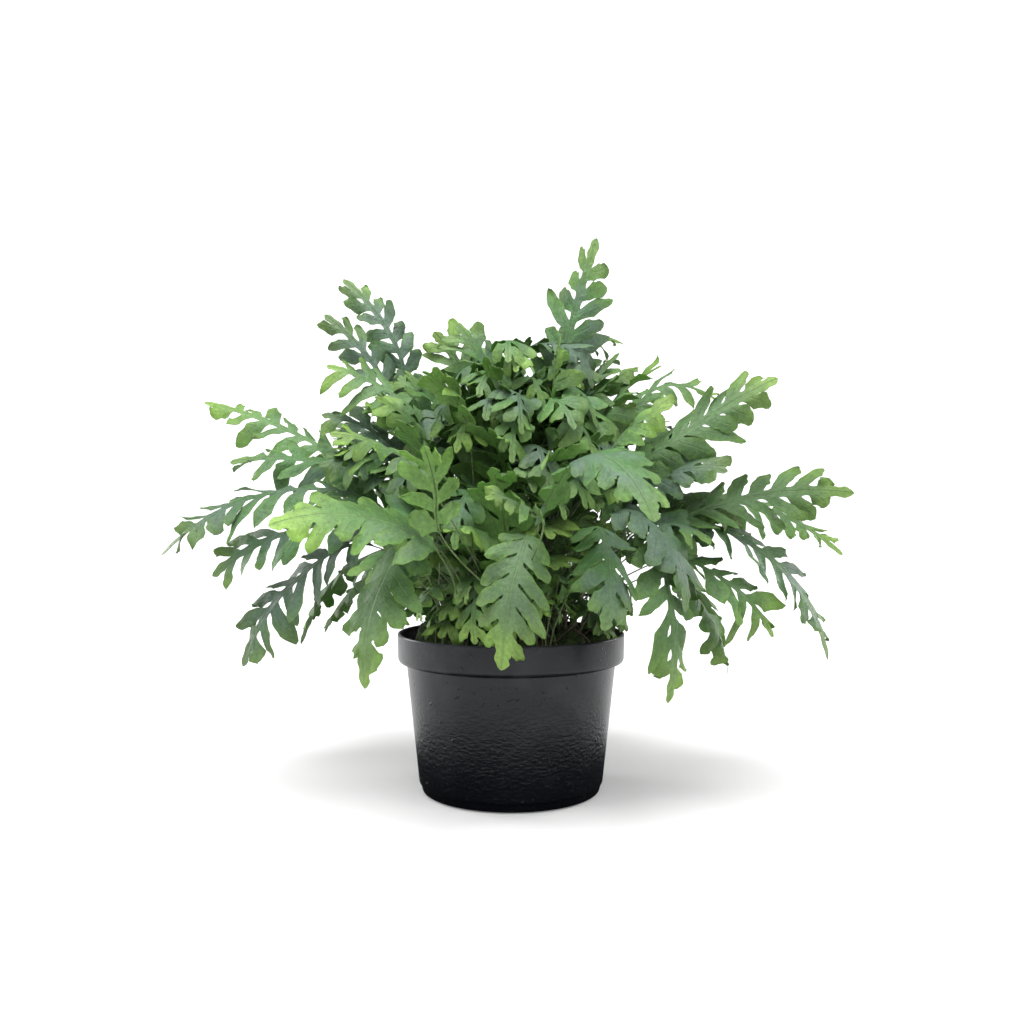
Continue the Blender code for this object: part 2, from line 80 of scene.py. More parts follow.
def makeCamera():
    data = bpy.data.cameras.new("camera")
    data.lens = view["lens"]
    data.sensor_width = 36
    data.shift_x, data.shift_y = view["shift"]
    camera = bpy.data.objects.new("camera", data)
    camera.location = view["place"]
    camera.rotation_euler = (math.pi / 2, 0, 0)
    bpy.context.scene.collection.objects.link(camera)
    bpy.context.scene.camera = camera


def makeLamps():
    for name, place, size, power in lamps:
        data = bpy.data.lights.new(name, "AREA")
        data.shape = "DISK"
        data.size = size
        data.energy = power
        lamp = bpy.data.objects.new(name, data)
        lamp.location = place
        towards = np.array([0, 0, 0.22]) - np.array(place)
        turn = math.atan2(towards[1], towards[0])
        fall = math.atan2(math.hypot(towards[0], towards[1]), -towards[2])
        lamp.rotation_euler = (fall, 0, turn - math.pi / 2)
        bpy.context.scene.collection.objects.link(lamp)
    world = bpy.data.worlds.new("studio")
    world.use_nodes = True
    sky = world.node_tree.nodes["Background"]
    sky.inputs["Color"].default_value = view["skyColour"]
    sky.inputs["Strength"].default_value = view["skyStrength"]
    bpy.context.scene.world = world
    bpy.context.scene.view_settings.view_transform = "Standard"


# Mesh tools: a shape is (points, face sets, maps), all whole arrays

def unit(vector):  # each row divided by its length
    return vector / np.linalg.norm(vector, axis=-1, keepdims=True)


def smooth(low, high, value):  # 3t^2 - 2t^3 from low to high
    share = np.clip((value - low) / (high - low), 0, 1)
    return share * share * (3 - 2 * share)


def latticeNoise(points, cell, seed):
    # Random numbers at the corners of cubes of side cell, blended by 3t^2 - 2t^3 along each axis: 0 to 1
    place = np.asarray(points) / cell
    corner = np.floor(place)
    share = place - corner
    share = share * share * (3 - 2 * share)
    total = 0
    for offset in np.ndindex(2, 2, 2):
        number = (corner + offset) @ np.array([12.9898, 78.233, 37.719]) + seed
        value = np.abs(np.sin(number) * 43758.5453) % 1
        weight = np.prod(np.where(offset, share, 1 - share), axis=-1)
        total = total + value * weight
    return total


def gridFaces(rows, columns, wrap=False):
    # Quads of a grid of points kept row by row; wrap joins the last column to the first
    row = np.arange(rows - 1)[:, None]
    column = np.arange(columns if wrap else columns - 1)[None]
    after = (column + 1) % columns
    corners = [row * columns + column, row * columns + after]
    corners += [(row + 1) * columns + after, (row + 1) * columns + column]
    return np.stack(np.broadcast_arrays(*corners), axis=-1).reshape(-1, 4)


def joined(shapes):  # several shapes as one, with their face numbers moved on
    points, faceSets, maps, count = [], [], {}, 0
    for shapePoints, shapeFaces, shapeMaps in shapes:
        points.append(shapePoints)
        faceSets += [faces + count for faces in shapeFaces]
        for name, values in shapeMaps.items():
            maps.setdefault(name, []).append(values)
        count += len(shapePoints)
    return np.concatenate(points), faceSets, {name: np.concatenate(rows) for name, rows in maps.items()}


def turnedShape(profile, sides):
    # Profile point (r, z) at angle a: (r cos a, r sin a, z); the ends are closed by one face each
    profile = np.asarray(profile)
    angle = np.linspace(0, 2 * np.pi, sides, endpoint=False)
    r, z = profile[:, :1], profile[:, 1:]
    points = np.stack(np.broadcast_arrays(r * np.cos(angle), r * np.sin(angle), z), axis=-1).reshape(-1, 3)
    first = np.arange(sides)[None]
    return points, [gridFaces(len(profile), sides, wrap=True), first[:, ::-1], first + sides * (len(profile) - 1)], {}


def roundedLine(corners, reach, steps=5):
    # Each inner corner of the line is cut back by reach and bridged by a quadratic curve
    corners = np.array(corners, float)
    line = [corners[:1]]
    share = np.linspace(0, 1, steps)[:, None]
    for before, at, after in zip(corners, corners[1:], corners[2:]):
        lead = min(reach, 0.45 * np.linalg.norm(at - before))
        trail = min(reach, 0.45 * np.linalg.norm(after - at))
        start = at + unit(before - at) * lead
        end = at + unit(after - at) * trail
        line.append((1 - share) ** 2 * start + 2 * share * (1 - share) * at + share**2 * end)
    return np.concatenate([*line, corners[-1:]])


def tubeShape(path, radius, sides):
    # A circle of the given radius at each point of the path, in a frame that doesn't twist
    path, radius = np.asarray(path, float), np.broadcast_to(radius, len(path))
    tangent = unit(np.gradient(path, axis=0))
    start = np.eye(3)[np.argmin(np.abs(tangent[0]))]
    across = unit(start - tangent * (tangent @ start)[:, None])
    lift = np.cross(tangent, across)
    angle = np.linspace(0, 2 * np.pi, sides, endpoint=False)[None, :, None]
    ring = across[:, None] * np.cos(angle) + lift[:, None] * np.sin(angle)
    points = (path[:, None] + ring * radius[:, None, None]).reshape(-1, 3)
    first = np.arange(sides)[None]
    return points, [gridFaces(len(path), sides, wrap=True), first[:, ::-1], first + sides * (len(path) - 1)], {}


def thickened(points, quads, half, maps):
    # Each point goes half a thickness to both sides along the mean normal of its faces; a wall joins the edges
    diagonals = points[quads[:, 2]] - points[quads[:, 0]], points[quads[:, 3]] - points[quads[:, 1]]
    faceNormals = np.cross(*diagonals)
    normals = np.zeros_like(points)
    for corner in range(4):
        np.add.at(normals, quads[:, corner], faceNormals)
    offset = unit(normals) * np.broadcast_to(half, len(points))[:, None]
    count = len(points)
    start, end = quads.ravel(), np.roll(quads, -1, axis=1).ravel()
    rim = ~np.isin(start * count + end, end * count + start)
    a, b = start[rim], end[rim]
    walls = np.stack([b, a, a + count, b + count], axis=1)
    faces = [quads, quads[:, ::-1] + count, walls]
    doubled = {name: np.concatenate([values, values]) for name, values in maps.items()}
    doubled["toneMap"][count:, 1] = 1  # the underside
    return np.concatenate([points + offset, points - offset]), faces, doubled


def makePiece(name, shape, materials, replaced=None, kinds=None, sharp=50):
    points, faceSets, maps = shape
    corners = np.concatenate([faces.ravel() for faces in faceSets])
    sizes = np.concatenate([np.full(len(faces), faces.shape[1]) for faces in faceSets])
    mesh = bpy.data.meshes.new(name)
    mesh.vertices.add(len(points))
    mesh.vertices.foreach_set("co", np.asarray(points, np.float32).ravel())
    mesh.loops.add(len(corners))
    mesh.loops.foreach_set("vertex_index", corners.astype(np.int32))
    mesh.polygons.add(len(sizes))
    mesh.polygons.foreach_set("loop_start", (np.cumsum(sizes) - sizes).astype(np.int32))
    for material in materials:
        mesh.materials.append(material)
    if kinds is not None:
        mesh.polygons.foreach_set("material_index", np.asarray(kinds, np.int32))
    for mapName, values in maps.items():
        layer = mesh.uv_layers.new(name=mapName)
        layer.data.foreach_set("uv", np.asarray(values[corners], np.float32).ravel())
    mesh.update(calc_edges=True)
    mesh.shade_smooth()
    mesh.set_sharp_from_angle(angle=math.radians(sharp))
    piece = bpy.data.objects.new(name, mesh)
    bpy.context.scene.collection.objects.link(piece)
    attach(piece, "root")
    if replaced:
        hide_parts(replaced)
    return piece


# Material tools

def addNode(tree, kind, inputs=None, **settings):
    # Makes a node; an input takes a value, or a link where a socket is given
    made = tree.nodes.new(kind)
    for name, value in settings.items():
        setattr(made, name, value)
    for name, value in (inputs or {}).items():
        if isinstance(value, bpy.types.NodeSocket):
            tree.links.new(value, made.inputs[name])
        else:
            made.inputs[name].default_value = value
    return made


def addMath(tree, operation, *values):
    return addNode(tree, "ShaderNodeMath", dict(enumerate(values)), operation=operation).outputs[0]


def addRange(tree, value, low, high, start=0.0, end=1.0):  # a smooth step from start to end
    inputs = {"Value": value, "From Min": low, "From Max": high, "To Min": start, "To Max": end}
    return addNode(tree, "ShaderNodeMapRange", inputs, interpolation_type="SMOOTHSTEP").outputs["Result"]


def addMix(tree, share, first, second, blend="MIX"):  # 0, 6 and 7 are the sockets of a colour mix
    inputs = {0: share, 6: first, 7: second}
    return addNode(tree, "ShaderNodeMix", inputs, data_type="RGBA", blend_type=blend).outputs[2]


def addNoise(tree, vector, scale, detail=2.0, rough=0.5):
    inputs = {"Vector": vector, "Scale": scale, "Detail": detail, "Roughness": rough}
    return addNode(tree, "ShaderNodeTexNoise", inputs).outputs["Fac"]


def makeGroup(name, inputs, outputs):
    tree = bpy.data.node_groups.new(name, "ShaderNodeTree")
    for socketName, kind, value in inputs:
        socket = tree.interface.new_socket(socketName, in_out="INPUT", socket_type=kind)
        socket.default_value = value
    for socketName, kind in outputs:
        tree.interface.new_socket(socketName, in_out="OUTPUT", socket_type=kind)
    return tree, tree.nodes.new("NodeGroupInput"), tree.nodes.new("NodeGroupOutput")


def newMaterial(name):
    material = bpy.data.materials.new(name)
    material.use_nodes = True
    tree = material.node_tree
    return material, tree, tree.nodes["Principled BSDF"], tree.nodes["Material Output"]


# Speckle: two noises of object space, a coarse and a fine one, as a shade and a height
def makeSpeckle():
    colour, number = "NodeSocketColor", "NodeSocketFloat"
    inputs = [("Dark", colour, (0, 0, 0, 1)), ("Light", colour, (1, 1, 1, 1))]
    inputs += [("Coarse Scale", number, 60.0), ("Fine Scale", number, 900.0)]
    tree, start, end = makeGroup("speckle", inputs, [("Colour", colour), ("Height", number)])
    place = addNode(tree, "ShaderNodeTexCoord").outputs["Object"]
    coarse = addNoise(tree, place, start.outputs["Coarse Scale"], 3.0)
    fine = addNoise(tree, place, start.outputs["Fine Scale"], 3.0, 0.65)
    mixed = addMath(tree, "MULTIPLY_ADD", fine, 0.5, addMath(tree, "MULTIPLY", coarse, 0.5))
    shade = addRange(tree, mixed, 0.34, 0.66)
    tree.links.new(addMix(tree, shade, start.outputs["Dark"], start.outputs["Light"]), end.inputs["Colour"])
    tree.links.new(mixed, end.inputs["Height"])
    return tree


speckle = makeSpeckle()


# Leaf pattern: colour along the frond and over each lobe, from the maps that the blade carries.
# alongMap has the share of the blade's length and the distance from its rib, lobeMap the place across and
# along a lobe, toneMap the frond's own tone and 1 on the underside.
def makeLeafPattern():
    colour, number = "NodeSocketColor", "NodeSocketFloat"
    inputs = [(name, colour, (0.2, 0.3, 0.2, 1)) for name in ("Face", "Face Two", "Edge", "Tip", "Rib", "Under")]
    inputs.append(("Tip Start", number, 0.7))
    outputs = [("Colour", colour), ("Height", number), ("Roughness", number)]
    tree, start, end = makeGroup("leafPattern", inputs, outputs)

    def readMap(name):
        split = addNode(tree, "ShaderNodeSeparateXYZ", {0: addNode(tree, "ShaderNodeUVMap", uv_map=name).outputs[0]})
        return split.outputs[0], split.outputs[1]

    place = addNode(tree, "ShaderNodeTexCoord").outputs["Object"]
    along, out = readMap("alongMap")
    lobeAcross, lobeAlong = readMap("lobeMap")
    tone, under = readMap("toneMap")
    patches = addNoise(tree, place, 26.0, 2.0)
    mottle = addNoise(tree, place, 330.0, 4.0, 0.65)
    across = addMath(tree, "ABSOLUTE", addMath(tree, "MULTIPLY_ADD", lobeAcross, 2.0, -1.0))

    patchMask = addRange(tree, addMath(tree, "MULTIPLY_ADD", tone, 0.3, patches), 0.5, 0.8)
    body = addMix(tree, patchMask, start.outputs["Face"], start.outputs["Face Two"])
    reach = addMath(tree, "MULTIPLY_ADD", lobeAlong, 0.12, along)
    reach = addMath(tree, "MULTIPLY_ADD", addMath(tree, "SUBTRACT", patches, 0.5), 0.25, reach)
    tipMask = addRange(tree, addMath(tree, "SUBTRACT", reach, start.outputs["Tip Start"]), 0.0, 0.5)
    body = addMix(tree, tipMask, body, start.outputs["Tip"])
    edge = addMath(tree, "MULTIPLY", addRange(tree, across, 0.35, 1.0), addRange(tree, lobeAlong, 0.05, 0.5))
    rimMask = addMath(tree, "MAXIMUM", edge, addRange(tree, lobeAlong, 0.6, 1.0))
    rimMask = addMath(tree, "MULTIPLY", rimMask, addRange(tree, mottle, 0.25, 0.7, 0.3, 0.85))
    body = addMix(tree, rimMask, body, start.outputs["Edge"])

    midrib = addRange(tree, across, 0.02, 0.1, 1.0, 0.0)
    midrib = addMath(tree, "MULTIPLY", midrib, addRange(tree, lobeAlong, 0.5, 0.95, 0.4, 0.0))
    midrib = addMath(tree, "MULTIPLY", midrib, addRange(tree, lobeAlong, 0.0, 0.05))
    rib = addMath(tree, "MAXIMUM", midrib, addRange(tree, out, 0.012, 0.035, 0.6, 0.0))
    chevron = addMath(tree, "MULTIPLY_ADD", across, -1.6, addMath(tree, "MULTIPLY", lobeAlong, 8.0))
    fromVein = addMath(tree, "ABSOLUTE", addMath(tree, "SUBTRACT", addMath(tree, "FRACT", chevron), 0.5))
    vein = addRange(tree, fromVein, 0.0, 0.16, 1.0, 0.0)
    veins = addMath(tree, "MULTIPLY", vein, addRange(tree, lobeAlong, 0.04, 0.2))
    ribs = addMath(tree, "MAXIMUM", rib, addMath(tree, "MULTIPLY", veins, 0.12))
    body = addMix(tree, ribs, body, start.outputs["Rib"])
    body = addMix(tree, addMath(tree, "MULTIPLY", under, 0.85), body, start.outputs["Under"])

    shade = addMath(tree, "MULTIPLY_ADD", mottle, 1.1, 0.45)
    shade = addMath(tree, "MULTIPLY", shade, addMath(tree, "MULTIPLY_ADD", patches, 0.6, 0.7))
    shade = addMath(tree, "MULTIPLY", shade, addMath(tree, "MULTIPLY_ADD", tone, 0.48, 0.76))
    shadeColour = addNode(tree, "ShaderNodeCombineXYZ", {0: shade, 1: shade, 2: shade}).outputs[0]
    tree.links.new(addMix(tree, 1.0, body, shadeColour, "MULTIPLY"), end.inputs["Colour"])
    quilt = addNoise(tree, place, 95.0, 2.0)
    height = addMath(tree, "MULTIPLY_ADD", ribs, -0.5, addMath(tree, "MULTIPLY_ADD", mottle, 0.5, quilt))
    tree.links.new(height, end.inputs["Height"])
    tree.links.new(addMath(tree, "MULTIPLY_ADD", mottle, 0.25, 0.36), end.inputs["Roughness"])
    return tree


leafPattern = makeLeafPattern()
leafColours = {
    "frond_blue": {
        "Face": (0.112, 0.189, 0.128, 1),
        "Face Two": (0.066, 0.160, 0.046, 1),
        "Edge": (0.103, 0.200, 0.052, 1),
        "Tip": (0.176, 0.288, 0.070, 1),
        "Rib": (0.141, 0.220, 0.110, 1),
        "Under": (0.090, 0.200, 0.036, 1),
        "Tip Start": 0.66,
    },
    "frond_green": {
        "Face": (0.076, 0.163, 0.050, 1),
        "Face Two": (0.098, 0.188, 0.072, 1),
        "Edge": (0.107, 0.210, 0.038, 1),
        "Tip": (0.196, 0.320, 0.060, 1),
        "Rib": (0.136, 0.225, 0.083, 1),
        "Under": (0.092, 0.208, 0.034, 1),
        "Tip Start": 0.62,
    },
    "frond_young": {
        "Face": (0.119, 0.206, 0.098, 1),
        "Face Two": (0.100, 0.198, 0.066, 1),
        "Edge": (0.150, 0.280, 0.048, 1),
        "Tip": (0.234, 0.372, 0.076, 1),
        "Rib": (0.169, 0.270, 0.101, 1),
        "Under": (0.127, 0.245, 0.055, 1),
        "Tip Start": 0.56,
    },
}


def makeLeafMaterial(name):
    # A satin leaf that lets some light through: Principled mixed with Translucent
    material, tree, shader, output = newMaterial(name)
    pattern = addNode(tree, "ShaderNodeGroup", node_tree=leafPattern)
    for socketName, value in leafColours[name].items():
        pattern.inputs[socketName].default_value = value
    relief = {"Height": pattern.outputs["Height"], "Strength": 0.9, "Distance": 2.0 * mm}
    bump = addNode(tree, "ShaderNodeBump", relief)
    tree.links.new(pattern.outputs["Colour"], shader.inputs["Base Color"])
    tree.links.new(pattern.outputs["Roughness"], shader.inputs["Roughness"])
    tree.links.new(bump.outputs[0], shader.inputs["Normal"])
    shader.inputs["Specular IOR Level"].default_value = 0.4
    through = addNode(tree, "ShaderNodeBsdfTranslucent", {"Color": pattern.outputs["Colour"]})
    mixed = addNode(tree, "ShaderNodeMixShader", {0: 0.43, 1: shader.outputs[0], 2: through.outputs[0]})
    tree.links.new(mixed.outputs[0], output.inputs["Surface"])
    return material


leafMaterials = {name: makeLeafMaterial(name) for name in leafColours}


def makeGrainMaterial(name, dark, light, coarse, fine, roughness, bumpDepth):
    # A matte finish from the speckle group
    material, tree, shader, _ = newMaterial(name)
    inputs = {"Dark": dark, "Light": light, "Coarse Scale": coarse, "Fine Scale": fine}
    grain = tree.nodes.new("ShaderNodeGroup")
    grain.node_tree = speckle
    for socketName, value in inputs.items():
        grain.inputs[socketName].default_value = value
    relief = {"Height": grain.outputs["Height"], "Strength": 1.0, "Distance": bumpDepth}
    bump = addNode(tree, "ShaderNodeBump", relief)
    tree.links.new(grain.outputs["Colour"], shader.inputs["Base Color"])
    tree.links.new(bump.outputs[0], shader.inputs["Normal"])
    shader.inputs["Roughness"].default_value = roughness
    return material


stalkColours = (0.034, 0.050, 0.014, 1), (0.118, 0.178, 0.054, 1)
soilColours = (0.006, 0.0045, 0.003, 1), (0.035, 0.024, 0.015, 1)
rhizomeColours = (0.03, 0.020, 0.010, 1), (0.14, 0.09, 0.042, 1)
stalkMaterial = makeGrainMaterial("stalk", *stalkColours, 30, 400, 0.5, 0.1 * mm)
soilMaterial = makeGrainMaterial("pottingSoil", *soilColours, 160, 900, 0.95, 1.2 * mm)
rhizomeMaterial = makeGrainMaterial("rhizomeSkin", *rhizomeColours, 220, 900, 0.85, 0.6 * mm)
print("materials made")


# Fronds: how each finds its place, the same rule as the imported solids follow

frondForm = {
    "stemWidth": 2.2 * mm,
    "ribThickness": 1.3 * mm,
    "bladeThickness": 0.8 * mm,
    "stemRows": 3,
    "spanPoints": 24,
    "straightRun": 10 * mm,
    "lobePitch": 10 * mm,
    "lobePitchShare": 0.45,
    "mostPairs": 12,
    "leastPairs": 3,
    "firstSinus": 0.02,
    "lobedShare": 0.82,
    "shoulder": 0.45,
    "wing": (0.08, 0.15),
    "slant": (64, 20),
    "lobeLength": (0.8, 1.4, 0.7),
    "stubbiest": 0.8,
    "neck": 0.6,
    "gap": 0.4 * mm,
    "clearance": 0.4 * mm,
    "attempts": 400,
    "stemSpacing": 6 * mm,
    "rootReach": 66 * mm,
    "steepSpan": (180 * mm, 320 * mm),
    "rootHeight": 111 * mm,
    "seeds": (11, 12, 13),
    "soilTop": 119 * mm,
}
coarseAngles = np.radians([-90, -46, 4, 50, 90])
closeAngles = np.radians([-90, -70, -45, -15, 15, 45, 70, 90])
potProfile = [  # outside from the foot to the lip, then the inside back down, in millimetres
    (70, 0),
    (74, 1.2),
    (75.6, 7),
    (76.8, 8.4),
    (87.6, 107.6),
    (93.4, 108.6),
    (94.6, 111),
    (95, 131),
    (94.4, 132),
    (92.6, 132),
    (92.2, 112),
    (86, 110),
    (75, 9),
    (69, 3.5),
]
rhizomeLine = [  # x, y and radius in millimetres
    (-52, -8, 3.4),
    (-34, -26, 5.2),
    (-8, -34, 5.8),
    (18, -28, 6.4),
    (40, -42, 5.6),
    (60, -36, 3.6),
]
rhizomeForm = {"sides": 6, "rows": 16, "lumps": 0.12, "sunk": 0.5}

# Each row: where the blade begins and ends in millimetres, its bow, its roll in degrees, half width, colour
chosenFronds = [
    # Front
    ((22, -115, 228), (94, -205, 228), 46, 25, 35, "frond_blue"),
    ((20, -96, 212), (6, -140, 119), 22, 0, 31, "frond_young"),
    ((60, -96, 220), (66, -145, 150), 24, 0, 29, "frond_blue"),
    ((80, -76, 232), (130, -100, 158), 22, 10, 31, "frond_blue"),
    ((88, -88, 220), (107, -112, 90), 18, 10, 28, "frond_green"),
    ((24, -160, 222), (-16, -192, 240), 8, -30, 15, "frond_young"),
    ((-28, -62, 168), (-34, -88, 124), 12, 0, 17, "frond_young"),
    # Right side, high to low
    ((96, 20, 300), (179, 10, 325), 28, 45, 19, "frond_green"),
    ((70, -80, 270), (122, -95, 314), 8, 35, 22, "frond_young"),
    ((100, -45, 262), (212, -50, 339), 6, 50, 29, "frond_green"),
    ((116, -45, 214), (273, -50, 247), 14, 45, 29, "frond_green"),
    ((140, 20, 236), (281, 0, 196), 20, 25, 20, "frond_green"),
    ((116, -55, 226), (254, -50, 117), 34, 40, 29, "frond_blue"),
    ((120, -40, 194), (207, -55, 134), 16, 30, 26, "frond_green"),
    ((126, 0, 182), (182, 0, 97), 14, 20, 22, "frond_green"),
    # Left side, high to low
    ((-84, 60, 306), (-153, 80, 446), 18, -60, 22, "frond_blue"),
    ((-90, 40, 296), (-165, 50, 408), 12, -60, 22, "frond_blue"),
    ((-74, -30, 306), (-150, -30, 352), 8, -50, 24, "frond_green"),
    ((-90, -20, 278), (-154, -30, 312), 8, -40, 22, "frond_blue"),
    ((-114, 30, 250), (-274, 50, 330), 12, -45, 24, "frond_green"),
    ((-112, 0, 250), (-237, 0, 274), 14, -40, 23, "frond_blue"),
    ((-108, -20, 238), (-283, 0, 199), 30, -40, 27, "frond_blue"),
    ((-120, -40, 218), (-240, -40, 182), 16, -40, 26, "frond_blue"),
    ((-112, -30, 206), (-218, -30, 108), 22, -35, 27, "frond_blue"),
    ((-106, 115, 188), (-182, 120, 116), 14, -30, 18, "frond_green"),
    ((-52, -148, 206), (-160, -195, 225), 16, -40, 32, "frond_young"),
    ((-56, -105, 212), (-92, -165, 110), 26, 0, 33, "frond_green"),
    ((-50, -165, 220), (-56, -185, 278), 6, 0, 24, "frond_young"),
    ((-60, -150, 232), (-101, -185, 267), 10, -40, 16, "frond_young"),
    # Crown
    ((30, 0, 285), (73, 10, 466), 4, 80, 27, "frond_blue"),
    ((28, -55, 258), (39, -50, 372), 4, 40, 20, "frond_green"),
    ((40, 0, 318), (112, 0, 372), 30, 30, 21, "frond_green"),
    ((48, -25, 300), (106, -20, 352), 8, 20, 24, "frond_green"),
    ((-27, 30, 304), (-69, 40, 391), 8, -70, 27, "frond_green"),
    ((-10, 0, 300), (-47, 0, 393), 12, -40, 27, "frond_blue"),
    ((10, 40, 296), (-5, 60, 378), 8, 20, 27, "frond_blue"),
    ((-30, -70, 285), (-66, -85, 340), 12, -20, 29, "frond_young"),
    # Heart
    ((0, -56, 180), (-12, -118, 266), 10, 10, 29, "frond_blue"),
    ((-34, -50, 176), (-56, -112, 250), 10, -10, 28, "frond_blue"),
    ((38, -40, 190), (56, -80, 288), 10, 10, 29, "frond_blue"),
    ((-12, -36, 214), (-24, -72, 312), 8, 0, 28, "frond_blue"),
    ((18, -36, 232), (14, -66, 326), 8, 0, 26, "frond_green"),
    ((-56, -46, 206), (-100, -72, 290), 12, -20, 29, "frond_blue"),
]
# Each tier: count, first azimuth and sweep, reach and height where blades begin and end, bow
fillTiers = [
    (5, 14, 152, (76, 196), (225, 125), 34),
    (5, 26, 136, (72, 226), (228, 240), 28),
    (4, 20, 150, (36, 216), (112, 338), 14),
]
fillColours = ("frond_blue", "frond_green", "frond_blue", "frond_green", "frond_young")


def ribLine(root, base, tip, bow, azimuth):
    # Cubic spans: upright out of the soil, through the blade's start, up by bow in its middle, to its tip
    sideways = np.array([-math.sin(azimuth), math.cos(azimuth), 0.0])
    chord = unit(tip - base)
    sideways = unit(sideways - chord * (sideways @ chord))
    middle = (base + tip) / 2 + bow * np.cross(chord, sideways)
    collar = root + [0, 0, frondForm["straightRun"]]
    knots = [collar, base, middle, tip]
    lengths = [np.linalg.norm(b - a) for a, b in zip(knots, knots[1:])]
    heading = [np.array([0.0, 0.0, 1.0]), unit(middle - collar), unit(tip - base)]
    heading.append(unit(2 * (tip - middle) / lengths[2] - heading[2]))
    share = np.linspace(0, 1, frondForm["spanPoints"], endpoint=False)[:, None]
    spans = []
    for i, length in enumerate(lengths):
        a, b = knots[i], knots[i + 1]
        ta, tb = heading[i] * length, heading[i + 1] * length
        spans.append(
            (2 * share**3 - 3 * share**2 + 1) * a
            + (share**3 - 2 * share**2 + share) * ta
            + (3 * share**2 - 2 * share**3) * b
            + (share**3 - share**2) * tb
        )
    points = np.concatenate([root[None], *spans, tip[None]])
    along = np.concatenate([[0], np.cumsum(np.linalg.norm(np.diff(points, axis=0), axis=1))])
    return points, along, along[1 + frondForm["spanPoints"]]


